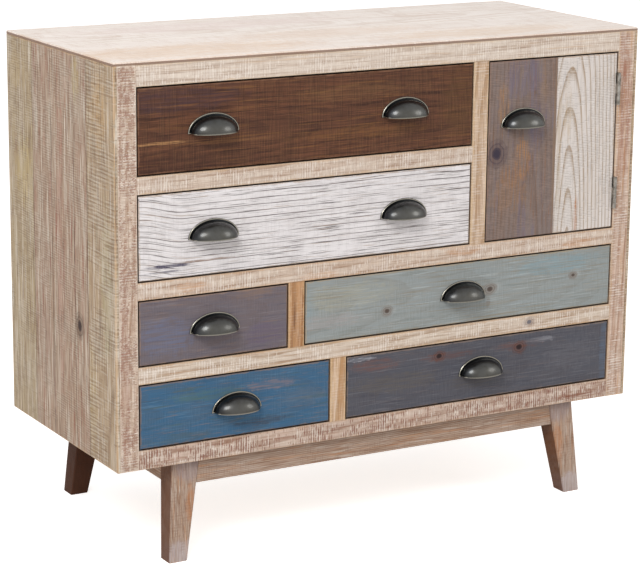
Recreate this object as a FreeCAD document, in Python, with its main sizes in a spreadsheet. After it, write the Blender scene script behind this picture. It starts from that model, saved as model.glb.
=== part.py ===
import FreeCAD, Part
import Sketcher

import os
import re

# A floor-standing sideboard of reclaimed pine: six drawers and one door in a face frame, on four splayed legs.
# Sizes are in millimetres. Every place is written in the case's own frame: x to the right from the case's left
# side, y to the back from the face frame's front, z up from the floor. The finished part's origin lies on the
# floor, in the middle of its width and of its depth with the pulls.

doc = FreeCAD.newDocument("sideboard")

# Driving sizes

SIZES = {
    "case_width": (900, "outside of one side panel to the outside of the other"),
    "case_depth": (387, "front of the face frame to the back panel"),
    "leg_height": (151, "floor to the underside of the case"),
    "board_thickness": (20, "side panels and top board"),
    "lip": (5, "edge of the sides and top that shows beside the face frame"),
    "frame_thickness": (20, "stiles, rails and uprights, front to back"),
    "stile_width": (30, "face of each outer stile"),
    "top_rail_height": (31, "face of the top rail"),
    "rail_height": (25.5, "face of each rail between two rows"),
    "bottom_rail_height": (28.5, "face of the bottom rail"),
    "upright_width": (26.5, "face of each upright between two openings"),
    "tall_row_height": (128, "opening height of the two upper rows"),
    "low_row_height": (99, "opening height of the two lower rows"),
    "wide_opening": (561.5, "opening width of the two top drawers"),
    "small_opening": (245, "opening width of the taupe drawer"),
    "middle_opening": (317.5, "opening width of the blue drawer"),
    "deck_thickness": (18, "bottom panel and compartment floor"),
    "partition_thickness": (18, "panel between the top drawers and the cupboard"),
    "back_thickness": (5, "back panel"),
    "back_rebate": (10, "how far the back panel and bottom panel reach into the sides"),
    "housing_depth": (6, "how deep a board sits in the housing cut for it"),
    "rear_rail_depth": (18, "rear rails, front to back"),
    "tenon_length": (13, "rail and upright tenons"),
    "tenon_thickness": (8, "rail and upright tenons"),
    "tenon_shoulder": (4, "shoulder above and below a tenon"),
    "arris": (0.8, "eased edge of the frame members"),
    "case_arris": (1.2, "eased edge of the top, the sides and the drawer fronts"),
    "seam_width": (1.4, "groove where two boards of a panel are glued"),
    "seam_depth": (0.7, "the same groove's depth"),
    "side_seam_1": (94.5, "first board joint in a side panel, from the front"),
    "side_seam_2": (141, "second board joint"),
    "side_seam_3": (222, "third board joint"),
    "side_seam_4": (290.5, "fourth board joint"),
    "top_seam_1": (104, "first board joint in the top, from the front"),
    "top_seam_2": (197, "second board joint"),
    "top_seam_3": (301, "third board joint"),
    "ledge_width": (10, "part of a runner that a drawer side stands on"),
    "guide_height": (16, "part of a runner that keeps a drawer straight"),
    "front_gap": (2.5, "gap round each drawer front and round the door"),
    "guide_clearance": (1, "drawer side to guide"),
    "glide_clearance": (0.3, "drawer side to ledge, and drawer side to stop"),
    "front_thickness": (20, "drawer fronts and door boards"),
    "front_recess": (0.6, "drawer fronts and door behind the face frame"),
    "drawer_wall": (12, "drawer sides and backs"),
    "drawer_length": (318, "drawer sides, behind the front"),
    "drawer_rim_drop": (18, "top of a drawer front to the top of its sides"),
    "drawer_back_inset": (10, "end of a drawer's sides to its back"),
    "ply_thickness": (4, "drawer bottoms"),
    "groove_depth": (6, "groove and housing in a drawer's sides and front"),
    "groove_height": (8, "underside of a drawer's sides to its bottom"),
    "pull_width": (82, "flange of a cup pull"),
    "pull_projection": (26, "front of a cup pull to the board it is fixed to"),
    "pull_flange": (4, "flange outside the cup, at its ends and over it"),
    "pull_flange_thickness": (1.6, "flange"),
    "pull_wall": (1.5, "cup, at the corners of its hollow"),
    "pull_spacing": (320, "middle to middle of the two pulls of a wide drawer"),
    "pull_drop": (8.5, "middle of a drawer front to the lower rim of its pull"),
    "door_pull_drop": (101.5, "top of the door to the lower rim of its pull"),
    "left_board_width": (125, "face of the door's left board"),
    "tongue_length": (6, "tongue between the door's two boards"),
    "tongue_thickness": (7, "the same tongue"),
    "batten_height": (42, "battens across the back of the door"),
    "batten_thickness": (14, "the same battens"),
    "batten_end_gap": (22, "door edge to batten end"),
    "batten_inset": (34, "door's top or bottom edge to batten"),
    "hinge_height": (50, "hinge leaf and barrel"),
    "hinge_inset": (58, "opening's top or bottom to the middle of a hinge"),
    "leaf_thickness": (1.6, "hinge leaf"),
    "leaf_depth": (17, "hinge leaf, behind the face of the wood"),
    "barrel_radius": (3, "hinge barrel"),
    "barrel_stand_off": (3.6, "hinge axis in front of the face frame"),
    "knuckle_gap": (0.3, "between two knuckles"),
    "pin_radius": (1.25, "hinge pin"),
    "pin_clearance": (0.05, "round the hinge pin"),
    "catch_height": (46, "magnetic catch"),
    "catch_width": (15, "magnetic catch, away from the partition"),
    "catch_depth": (20, "magnetic catch, front to back"),
    "catch_inset": (30, "top of the cupboard opening to the catch"),
    "catch_clearance": (0.3, "magnet to strike plate"),
    "strike_thickness": (1.2, "strike plate on the door"),
    "strike_width": (12, "strike plate"),
    "leg_inset": (93.5, "case side to the leg's outer face, under the case"),
    "leg_setback": (13, "face frame to the leg's front face, under the case"),
    "leg_splay_side": (11, "how far a foot stands outside the top of its leg"),
    "leg_splay_front": (13, "how far a foot stands in front of the top of its leg"),
    "leg_top_width": (45, "leg under the case, side to side"),
    "leg_top_depth": (38.5, "leg under the case, front to back"),
    "foot_width": (29, "leg at the floor, side to side"),
    "foot_depth": (30, "leg at the floor, front to back"),
    "leg_arris": (1.5, "eased edge down each leg"),
    "apron_height": (37, "aprons between the legs"),
    "apron_thickness": (18, "the same aprons"),
    "apron_tenon_length": (14, "apron tenons"),
    "apron_tenon_shoulder": (6, "shoulder above and below an apron tenon"),
}

# Places worked out from the sizes, each named once

PLACES = {
    "overhang": "pull_projection - front_recess",
    "middle_x": "case_width / 2",
    "middle_y": "(case_depth - overhang) / 2",
    "case_bottom": "leg_height",
    "row_4_bottom": "case_bottom + bottom_rail_height",
    "row_4_top": "row_4_bottom + low_row_height",
    "row_3_bottom": "row_4_top + rail_height",
    "row_3_top": "row_3_bottom + low_row_height",
    "row_2_bottom": "row_3_top + rail_height",
    "row_2_top": "row_2_bottom + tall_row_height",
    "row_1_bottom": "row_2_top + rail_height",
    "row_1_top": "row_1_bottom + tall_row_height",
    "lip_bottom": "row_1_top + top_rail_height",
    "case_top": "lip_bottom + lip",
    "core_bottom": "case_top - board_thickness",
    "opening_left": "lip + stile_width",
    "opening_right": "case_width - opening_left",
    "opening_width": "opening_right - opening_left",
    "centre_upright_left": "opening_left + wide_opening",
    "cupboard_left": "centre_upright_left + upright_width",
    "row_3_upright_left": "opening_left + small_opening",
    "row_4_upright_left": "opening_left + middle_opening",
    "inner_right": "case_width - board_thickness",
    "back_panel_front": "case_depth - back_thickness",
    "rear_rail_front": "back_panel_front - rear_rail_depth",
    "tenon_front": "(frame_thickness - tenon_thickness) / 2",
    "partition_left": "centre_upright_left + (upright_width - partition_thickness) / 2",
    "partition_right": "partition_left + partition_thickness",
    "guide_reach": "front_gap - guide_clearance",
    "runner_rise": "front_gap - glide_clearance",
    "runner_base": "bottom_rail_height - deck_thickness",
    "stop_front": "front_recess + front_thickness + drawer_length + glide_clearance",
    "door_left": "cupboard_left + front_gap",
    "door_right": "opening_right - front_gap",
    "door_bottom": "row_2_bottom + front_gap",
    "door_top": "row_1_top - front_gap",
    "door_back": "front_recess + front_thickness",
    "board_joint": "door_left + left_board_width",
    "hinge_x": "opening_right - front_gap / 2",
    "knuckle_height": "(hinge_height - 2 * knuckle_gap) / 3",
    "leg_drop": "leg_height - apron_height",
}

TINY = 0.01

corners = {}
nodes = {}


# Binding to the sheet


def bound(text):
    """The same sum with every size and place written out as cells of the sheet."""

    def written_out(match):
        word = match.group(0)
        if word in PLACES:
            return f"({bound(PLACES[word])})"
        return f"Sizes.{word}" if word in SIZES else word

    return re.sub(r"[a-z]\w*", written_out, text)


def value(text):
    return float(sheet.evalExpression(bound(text)))


def sizes_sheet():
    cells = doc.addObject("Spreadsheet::Sheet", "Sizes")
    for row, (alias, (size, note)) in enumerate(SIZES.items(), start=1):
        cells.set(f"A{row}", str(size))
        cells.setAlias(f"A{row}", alias)
        cells.set(f"B{row}", note)
    doc.recompute()
    return cells


# Pieces, sketches and features


def piece(label, corner):
    """An empty piece whose own origin lies at a corner given in the case's frame."""
    body = doc.addObject("PartDesign::Body", label)
    body.Label = label
    corners[body.Name] = corner
    for axis, place, middle in zip("xyz", corner, ("middle_x", "middle_y", "0")):
        body.setExpression(f".Placement.Base.{axis}", bound(f"({place}) - {middle}"))
    nodes[label] = body
    return body


def group(label, bodies):
    """Several like solids that share one node."""
    compound = doc.addObject("Part::Compound", label)
    compound.Label = label
    compound.Links = bodies
    for body in bodies:
        del nodes[body.Label]
    nodes[label] = compound


def local(body, place):
    return [f"({a}) - ({b})" for a, b in zip(place, corners[body.Name])]


def sketch_on(body, role, name, offset="0"):
    plane = next(item for item in body.Origin.OriginFeatures if item.Role == role)
    sketch = body.newObject("Sketcher::SketchObject", name)
    sketch.AttachmentSupport = (plane, [""])
    sketch.MapMode = "FlatFace"
    sketch.setExpression(".AttachmentOffset.Base.z", bound(offset))
    return sketch


def dimension(sketch, kind, points, text):
    number = sketch.addConstraint(Sketcher.Constraint(kind, *points, value(text)))
    sketch.setExpression(f"Constraints[{number}]", bound(text))


def closed_lines(sketch, points):
    """Straight lines round the points, joined end to end; returns the first line's number."""
    first = sketch.GeometryCount
    count = len(points)
    for number in range(count):
        start, end = points[number], points[(number + 1) % count]
        sketch.addGeometry(Part.LineSegment(FreeCAD.Vector(*start, 0), FreeCAD.Vector(*end, 0)), False)
    for number in range(count):
        following = first + (number + 1) % count
        sketch.addConstraint(Sketcher.Constraint("Coincident", first + number, 2, following, 1))
    return first


def rectangle(sketch, left, bottom, width, height):
    x, y, dx, dy = (value(text) for text in (left, bottom, width, height))
    first = closed_lines(sketch, [(x, y), (x + dx, y), (x + dx, y + dy), (x, y + dy)])
    for number, kind in enumerate(("Horizontal", "Vertical", "Horizontal", "Vertical")):
        sketch.addConstraint(Sketcher.Constraint(kind, first + number))
    dimension(sketch, "DistanceX", (-1, 1, first, 1), left)
    dimension(sketch, "DistanceY", (-1, 1, first, 1), bottom)
    dimension(sketch, "DistanceX", (first, 1, first, 2), width)
    dimension(sketch, "DistanceY", (first + 1, 1, first + 1, 2), height)


def polygon(sketch, points):
    first = closed_lines(sketch, [(value(x), value(y)) for x, y in points])
    for number, (x, y) in enumerate(points):
        dimension(sketch, "DistanceX", (-1, 1, first + number, 1), x)
        dimension(sketch, "DistanceY", (-1, 1, first + number, 1), y)


def circle(sketch, x, y, radius):
    centre = FreeCAD.Vector(value(x), value(y), 0)
    number = sketch.addGeometry(Part.Circle(centre, FreeCAD.Vector(0, 0, 1), value(radius)), False)
    dimension(sketch, "DistanceX", (-1, 1, number, 3), x)
    dimension(sketch, "DistanceY", (-1, 1, number, 3), y)
    dimension(sketch, "Radius", (number,), radius)


def extrude(body, sketch, name, length, cut=False, against=False):
    """Pads or pockets a sketch along its plane's own normal, or against it."""
    feature = body.newObject("PartDesign::Pocket" if cut else "PartDesign::Pad", name)
    feature.Profile = sketch
    feature.Reversed = cut != against
    feature.setExpression("Length", bound(length))
    sketch.Visibility = False
    return feature


def block(body, name, place, size, cut=False):
    """Adds or cuts away a square-edged block, given in the case's frame."""
    x, y, z = local(body, place)
    sketch = sketch_on(body, "XY_Plane", f"{name}_outline", z)
    rectangle(sketch, x, y, size[0], size[1])
    return extrude(body, sketch, name, size[2], cut)


def ease(body, size, chosen):
    """Takes a small chamfer off the edges whose bounding boxes are chosen."""
    doc.recompute()
    base = body.Tip
    names = [f"Edge{number}" for number, edge in enumerate(base.Shape.Edges, start=1) if chosen(edge.BoundBox)]
    chamfer = body.newObject("PartDesign::Chamfer", "eased_edges")
    chamfer.Base = (base, names)
    chamfer.setExpression("Size", bound(size))


def at_front(box):
    return box.YMax < TINY


def along_x(box):
    return at_front(box) and box.XLength > TINY


def along_z(box):
    return at_front(box) and box.ZLength > TINY


def from_side(x, width, side):
    """Where something x from the case's left side starts, or its twin's start on the right."""
    return x if side == "left" else f"case_width - ({x}) - ({width})"


def from_end(y, depth, end):
    """Where something y from the front of the case starts, or its twin's start at the rear."""
    return y if end == "front" else f"case_depth - ({y}) - ({depth})"


def vee(sketch, across, along, outside, inside):
    """A V groove's section, centred on one sketch axis and cut from outside to inside on the other."""
    edge = "seam_width / 2"
    points = [(outside, f"{along} - {edge}"), (inside, along), (outside, f"{along} + {edge}")]
    polygon(sketch, [(a, b) if across == "first" else (b, a) for a, b in points])


# Carcase


def top_panel():
    body = piece("top_panel", ("0", "0", "core_bottom"))
    core = ("case_width - 2 * board_thickness", "back_panel_front - frame_thickness", "board_thickness - lip")
    block(body, "core", ("board_thickness", "frame_thickness", "core_bottom"), core)
    block(body, "lipped_board", ("0", "0", "lip_bottom"), ("case_width", "case_depth", "lip"))
    top, width, depth = value("board_thickness"), value("case_width"), value("case_depth")

    def outer(box):
        corner = (box.XMax < TINY or box.XMin > width - TINY) and (box.YMax < TINY or box.YMin > depth - TINY)
        return box.ZMin > top - TINY or corner

    ease(body, "case_arris", outer)
    sketch = sketch_on(body, "YZ_Plane", "board_seams_section")
    for number in (1, 2, 3):
        vee(sketch, "second", f"top_seam_{number}", "board_thickness", "board_thickness - seam_depth")
    extrude(body, sketch, "board_seams", "case_width", cut=True)


def side_panel(side):
    body = piece(f"{side}_side_panel", (from_side("0", "board_thickness", side), "0", "case_bottom"))

    def inward(x):
        return x if side == "left" else f"board_thickness - ({x})"

    section = [
        ("0", "0"),
        ("lip", "0"),
        ("lip", "frame_thickness"),
        ("board_thickness", "frame_thickness"),
        ("board_thickness", "back_panel_front"),
        ("back_rebate", "back_panel_front"),
        ("back_rebate", "case_depth"),
        ("0", "case_depth"),
    ]
    sketch = sketch_on(body, "XY_Plane", "board_section")
    polygon(sketch, [(inward(x), y) for x, y in section])
    extrude(body, sketch, "board", "lip_bottom - case_bottom")
    outer = value(inward("0"))
    ease(body, "case_arris", lambda box: abs(box.XMin - outer) < TINY and abs(box.XMax - outer) < TINY)

    sketch = sketch_on(body, "XY_Plane", "board_seams_section")
    for number in (1, 2, 3, 4):
        vee(sketch, "first", f"side_seam_{number}", inward("0"), inward("seam_depth"))
    extrude(body, sketch, "board_seams", "lip_bottom - case_bottom", cut=True)

    def cut_inside(name, x, y, z, depth, height):
        width = f"board_thickness - ({x})"
        block(body, name, (from_side(x, width, side), y, z), (width, depth, height), cut=True)

    housing = "board_thickness - housing_depth"
    panel_depth = "back_panel_front - frame_thickness"
    cut_inside("bottom_rebate", "back_rebate", "frame_thickness", "case_bottom", panel_depth, "deck_thickness")
    for level in ("row_3_top", "row_4_top"):
        cut_inside("rear_rail_housing", housing, "rear_rail_front", level, "rear_rail_depth", "rail_height")
    if side == "right":
        floor_depth = "rear_rail_front - frame_thickness"
        level = "row_2_bottom - deck_thickness"
        cut_inside("floor_housing", housing, "frame_thickness", level, floor_depth, "deck_thickness")


def flat_panels():
    width = "case_width - 2 * back_rebate"
    body = piece("bottom_panel", ("back_rebate", "frame_thickness", "case_bottom"))
    size = (width, "back_panel_front - frame_thickness", "deck_thickness")
    block(body, "board", ("back_rebate", "frame_thickness", "case_bottom"), size)
    body = piece("back_panel", ("back_rebate", "back_panel_front", "case_bottom"))
    size = (width, "back_thickness", "lip_bottom - case_bottom")
    block(body, "board", ("back_rebate", "back_panel_front", "case_bottom"), size)


def partition_and_floor():
    floor_corner = ("partition_right - housing_depth", "frame_thickness", "row_2_bottom - deck_thickness")
    floor_width = "inner_right - partition_right + 2 * housing_depth"
    floor_size = (floor_width, "rear_rail_front - frame_thickness", "deck_thickness")
    body = piece("compartment_floor", floor_corner)
    block(body, "board", floor_corner, floor_size)

    body = piece("partition", ("partition_left", "frame_thickness", "row_3_top"))
    notch = "rear_rail_front - frame_thickness"
    depth = "back_panel_front - frame_thickness"
    height = "core_bottom - row_3_top"
    sketch = sketch_on(body, "YZ_Plane", "board_outline")
    polygon(
        sketch,
        [("0", "0"), (notch, "0"), (notch, "rail_height"), (depth, "rail_height"), (depth, height), ("0", height)],
    )
    extrude(body, sketch, "board", "partition_thickness")
    block(body, "floor_housing", floor_corner, floor_size, cut=True)


def rear_rails():
    rails = []
    left = "board_thickness - housing_depth"
    for name, level in (("middle", "row_3_top"), ("lower", "row_4_top")):
        body = piece(f"rear_{name}_rail", (left, "rear_rail_front", level))
        size = (f"case_width - 2 * ({left})", "rear_rail_depth", "rail_height")
        block(body, "rail", (left, "rear_rail_front", level), size)
        rails.append(body)
    group("rear_rails", rails)


# Face frame

RAILS = {
    "top_rail": ("opening_width", "row_1_top", "top_rail_height"),
    "upper_rail": ("wide_opening", "row_2_top", "rail_height"),
    "middle_rail": ("opening_width", "row_3_top", "rail_height"),
    "lower_rail": ("opening_width", "row_4_top", "rail_height"),
    "bottom_rail": ("opening_width", "case_bottom", "bottom_rail_height"),
}
UPRIGHTS = {
    "centre_upright": ("centre_upright_left", "row_2_bottom", "row_1_top - row_2_bottom", "middle_rail", "top_rail"),
    "row_three_upright": ("row_3_upright_left", "row_3_bottom", "low_row_height", "lower_rail", "middle_rail"),
    "row_four_upright": ("row_4_upright_left", "row_4_bottom", "low_row_height", "bottom_rail", "lower_rail"),
}


def rail_tenons(label):
    """One long block: what stands out of the rail at each end is its tenon, and cuts its mortise."""
    length, level, height = RAILS[label]
    place = ("opening_left - tenon_length", "tenon_front", f"{level} + tenon_shoulder")
    return place, (f"{length} + 2 * tenon_length", "tenon_thickness", f"{height} - 2 * tenon_shoulder")


def upright_tenons(label):
    left, level, height, _, _ = UPRIGHTS[label]
    place = (f"{left} + tenon_shoulder", "tenon_front", f"{level} - tenon_length")
    return place, ("upright_width - 2 * tenon_shoulder", "tenon_thickness", f"{height} + 2 * tenon_length")


def stile(side):
    corner = (from_side("lip", "stile_width", side), "0", "case_bottom")
    body = piece(f"{side}_stile", corner)
    block(body, "stile", corner, ("stile_width", "frame_thickness", "lip_bottom - case_bottom"))
    ease(body, "arris", along_z)
    for label in RAILS:
        if side == "left" or label != "upper_rail":
            block(body, f"{label}_mortise", *rail_tenons(label), cut=True)
    return body


def rail(label):
    length, level, height = RAILS[label]
    corner = ("opening_left", "0", level)
    body = piece(label, corner)
    block(body, "rail", corner, (length, "frame_thickness", height))
    ease(body, "arris", along_x)
    block(body, "tenons", *rail_tenons(label))
    for name, upright in UPRIGHTS.items():
        if label in upright[3:]:
            block(body, f"{name}_mortise", *upright_tenons(name), cut=True)


def upright(label):
    left, level, height, _, _ = UPRIGHTS[label]
    corner = (left, "0", level)
    body = piece(label, corner)
    block(body, "upright", corner, ("upright_width", "frame_thickness", height))
    ease(body, "arris", along_z)
    block(body, "tenons", *upright_tenons(label))
    if label == "centre_upright":
        block(body, "upper_rail_mortise", *rail_tenons("upper_rail"), cut=True)


# Drawer runners


def runner(label, wall, edge, opening_bottom, side):
    """An L-shaped runner on a wall: ledge under the drawer's side, guide beside it, stop behind it."""
    ledge = "front_gap + ledge_width"
    width = f"({edge}) - ({wall}) + {ledge}" if side == "left" else f"({wall}) - ({edge}) + {ledge}"
    left = wall if side == "left" else f"{edge} - ({ledge})"
    guide = f"{width} - ({ledge}) + guide_reach"
    corner = (left, "frame_thickness", f"{opening_bottom} - runner_base")
    body = piece(label, corner)

    def outward(x):
        return x if side == "left" else f"{width} - ({x})"

    ledge_top = "runner_base + runner_rise"
    guide_top = f"{ledge_top} + guide_height"
    length = "rear_rail_front - frame_thickness"
    section = [("0", "0"), (width, "0"), (width, ledge_top), (guide, ledge_top), (guide, guide_top), ("0", guide_top)]
    sketch = sketch_on(body, "XZ_Plane", "runner_section")
    polygon(sketch, [(outward(x), z) for x, z in section])
    extrude(body, sketch, "runner", length, against=True)
    stop_width = f"{width} - ({guide})"
    stop_left = f"{left} + {guide}" if side == "left" else left
    stop_place = (stop_left, "stop_front", f"{opening_bottom} + runner_rise")
    block(body, "stop", stop_place, (stop_width, "rear_rail_front - (stop_front)", "guide_height"))
    return body


def side_runners():
    runners = []
    for number in (1, 2, 3, 4):
        bottom = f"row_{number}_bottom"
        runners.append(runner(f"row_{number}_left_runner", "board_thickness", "opening_left", bottom, "left"))
        wall, edge = ("partition_left", "centre_upright_left") if number < 3 else ("inner_right", "opening_right")
        runners.append(runner(f"row_{number}_right_runner", wall, edge, bottom, "right"))
    group("side_runners", runners)


def centre_runner(label, upright_left, opening_bottom):
    """A T-shaped runner that carries one drawer on each side of its guide."""
    ledge = "front_gap + ledge_width"
    left = f"{upright_left} - ({ledge})"
    width = f"upright_width + 2 * ({ledge})"
    guide_left = f"{upright_left} - (guide_reach)"
    guide_width = "upright_width + 2 * (guide_reach)"
    level = f"{opening_bottom} - runner_base"
    ledge_top = f"{opening_bottom} + runner_rise"
    length = "rear_rail_front - frame_thickness"
    body = piece(label, (left, "frame_thickness", level))
    block(body, "ledge", (left, "frame_thickness", level), (width, length, "runner_base + runner_rise"))
    block(body, "guide", (guide_left, "frame_thickness", ledge_top), (guide_width, length, "guide_height"))
    block(body, "stop", (left, "stop_front", ledge_top), (width, "rear_rail_front - (stop_front)", "guide_height"))
    return body


def centre_runners():
    runners = [
        centre_runner("row_3_centre_runner", "row_3_upright_left", "row_3_bottom"),
        centre_runner("row_4_centre_runner", "row_4_upright_left", "row_4_bottom"),
    ]
    group("centre_runners", runners)


# Legs and aprons

LEG_INNER_TOP = "(leg_inset + leg_top_width)"
LEG_INNER_FOOT = "(leg_inset - leg_splay_side + foot_width)"
LEG_REAR_TOP = "(leg_setback + leg_top_depth)"
LEG_REAR_FOOT = "(leg_setback - leg_splay_front + foot_depth)"
APRON_LOW_X = f"({LEG_INNER_FOOT} + ({LEG_INNER_TOP} - {LEG_INNER_FOOT}) * leg_drop / leg_height)"
APRON_LOW_Y = f"({LEG_REAR_FOOT} + ({LEG_REAR_TOP} - {LEG_REAR_FOOT}) * leg_drop / leg_height)"
APRON_TENON_SETBACK = "(apron_thickness - tenon_thickness) / 2"


def long_apron_tenons(end):
    """What stands out of the front or rear apron past the slanting faces of its legs."""
    left = f"{APRON_LOW_X} - apron_tenon_length"
    y = from_end(f"leg_setback + {APRON_TENON_SETBACK}", "tenon_thickness", end)
    size = (f"case_width - 2 * ({left})", "tenon_thickness", "apron_height - 2 * apron_tenon_shoulder")
    return (left, y, "leg_drop + apron_tenon_shoulder"), size


def side_apron_tenons(side):
    front = f"{APRON_LOW_Y} - apron_tenon_length"
    x = from_side(f"leg_inset + {APRON_TENON_SETBACK}", "tenon_thickness", side)
    size = ("tenon_thickness", f"case_depth - 2 * ({front})", "apron_height - 2 * apron_tenon_shoulder")
    return (x, front, "leg_drop + apron_tenon_shoulder"), size


def leg(end, side):
    """A square leg that tapers to a smaller foot and leans out to the side and to the front or rear."""
    foot_x = from_side("leg_inset - leg_splay_side", "foot_width", side)
    foot_y = from_end("leg_setback - leg_splay_front", "foot_depth", end)
    top_x = from_side("leg_inset", "leg_top_width", side)
    top_y = from_end("leg_setback", "leg_top_depth", end)
    body = piece(f"{end}_{side}_leg", (foot_x, foot_y, "0"))
    left, front = local(body, (top_x, top_y))

    def outline(sketch, top, top_size, foot_size):
        polygon(
            sketch,
            [("0", "0"), (foot_size, "0"), (f"{top} + {top_size}", "leg_height"), (top, "leg_height")],
        )

    sketch = sketch_on(body, "XZ_Plane", "front_outline")
    outline(sketch, left, "leg_top_width", "foot_width")
    extrude(body, sketch, "blank", "2 * leg_height").SideType = "Symmetric"
    sketch = sketch_on(body, "YZ_Plane", "waste_outline")
    rectangle(sketch, "-2 * leg_height", "-leg_height", "4 * leg_height", "3 * leg_height")
    outline(sketch, front, "leg_top_depth", "foot_depth")
    extrude(body, sketch, "waste", "2 * leg_height", cut=True).SideType = "Symmetric"
    ease(body, "leg_arris", lambda box: box.ZLength > TINY)
    block(body, "long_apron_mortise", *long_apron_tenons(end), cut=True)
    block(body, "side_apron_mortise", *side_apron_tenons(side), cut=True)


def long_apron(end):
    y = from_end("leg_setback", "apron_thickness", end)
    body = piece(f"{end}_apron", (APRON_LOW_X, y, "leg_drop"))
    lean = f"({LEG_INNER_TOP} - {APRON_LOW_X})"
    low_length = f"(case_width - 2 * {APRON_LOW_X})"
    outline = [
        ("0", "0"),
        (low_length, "0"),
        (f"{low_length} - {lean}", "apron_height"),
        (lean, "apron_height"),
    ]
    sketch = sketch_on(body, "XZ_Plane", "apron_outline")
    polygon(sketch, outline)
    extrude(body, sketch, "apron", "apron_thickness", against=True)
    block(body, "tenons", *long_apron_tenons(end))


def side_apron(side):
    x = from_side("leg_inset", "apron_thickness", side)
    body = piece(f"{side}_apron", (x, APRON_LOW_Y, "leg_drop"))
    lean = f"({LEG_REAR_TOP} - {APRON_LOW_Y})"
    low_length = f"(case_depth - 2 * {APRON_LOW_Y})"
    outline = [
        ("0", "0"),
        (low_length, "0"),
        (f"{low_length} - {lean}", "apron_height"),
        (lean, "apron_height"),
    ]
    sketch = sketch_on(body, "YZ_Plane", "apron_outline")
    polygon(sketch, outline)
    extrude(body, sketch, "apron", "apron_thickness")
    block(body, "tenons", *side_apron_tenons(side))
    return body


# Cup pulls

FLANGE_RUNS = 11
CUP_RUNS = 5
CORE_STEPS = 3
CUP_HALF_WIDTH = "(pull_width / 2 - pull_flange)"
CUP_HEIGHT = "(pull_projection - pull_flange_thickness)"


def half_oval(half_width, height, runs):
    """The upper half of an oval in an odd number of straight runs, the middle one flat at the full height."""
    angles = [180 * number / runs for number in range(1, runs)]
    rise = f"({height}) / cos({90 / runs})"
    curve = [(f"({half_width}) * cos({angle})", f"{rise} * sin({angle})") for angle in angles]
    return [(half_width, "0"), *curve, (f"-({half_width})", "0")]


def core_steps():
    """The hollow's outline: each step stays one wall inside the cup's oval."""
    right = []
    for number in reversed(range(1, CORE_STEPS)):
        share = f"({number} / {CORE_STEPS})"
        x = f"{CUP_HALF_WIDTH} * {share}"
        height = f"{CUP_HEIGHT} * sqrt(1 - {share} ^ 2) - pull_wall"
        right += [(x, right[-1][1] if right else "0"), (x, height)]
    return right + [(f"-({x})", height) for x, height in reversed(right)]


def pull(label, x, z):
    """A half-round cup on a flange, turned a quarter circle about the lower rim and open to the board behind."""
    body = piece(label, (x, "front_recess", z))
    sketch = sketch_on(body, "XZ_Plane", "flange_outline")
    polygon(sketch, half_oval("pull_width / 2", f"{CUP_HEIGHT} + pull_flange", FLANGE_RUNS))
    extrude(body, sketch, "flange", "pull_flange_thickness")
    for name, kind, outline in (
        ("cup", "PartDesign::Revolution", half_oval(CUP_HALF_WIDTH, CUP_HEIGHT, CUP_RUNS)),
        ("hollow", "PartDesign::Groove", core_steps()),
    ):
        section = sketch_on(body, "XZ_Plane", f"{name}_section", "pull_flange_thickness")
        polygon(section, outline)
        turned = body.newObject(kind, name)
        turned.Profile = section
        turned.ReferenceAxis = (section, ["H_Axis"])
        turned.Angle = 90
    sketch = sketch_on(body, "XZ_Plane", "opening_outline")
    polygon(sketch, core_steps())
    extrude(body, sketch, "opening", "pull_flange_thickness", cut=True)
    return body


# Drawers

DRAWERS = {
    "brown": ("opening_left", "wide_opening", "row_1_bottom", "tall_row_height", 2),
    "white": ("opening_left", "wide_opening", "row_2_bottom", "tall_row_height", 2),
    "taupe": ("opening_left", "small_opening", "row_3_bottom", "low_row_height", 1),
    "sage": (
        "row_3_upright_left + upright_width",
        "opening_right - row_3_upright_left - upright_width",
        "row_3_bottom",
        "low_row_height",
        1,
    ),
    "blue": ("opening_left", "middle_opening", "row_4_bottom", "low_row_height", 1),
    "slate": (
        "row_4_upright_left + upright_width",
        "opening_right - row_4_upright_left - upright_width",
        "row_4_bottom",
        "low_row_height",
        1,
    ),
}


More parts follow.
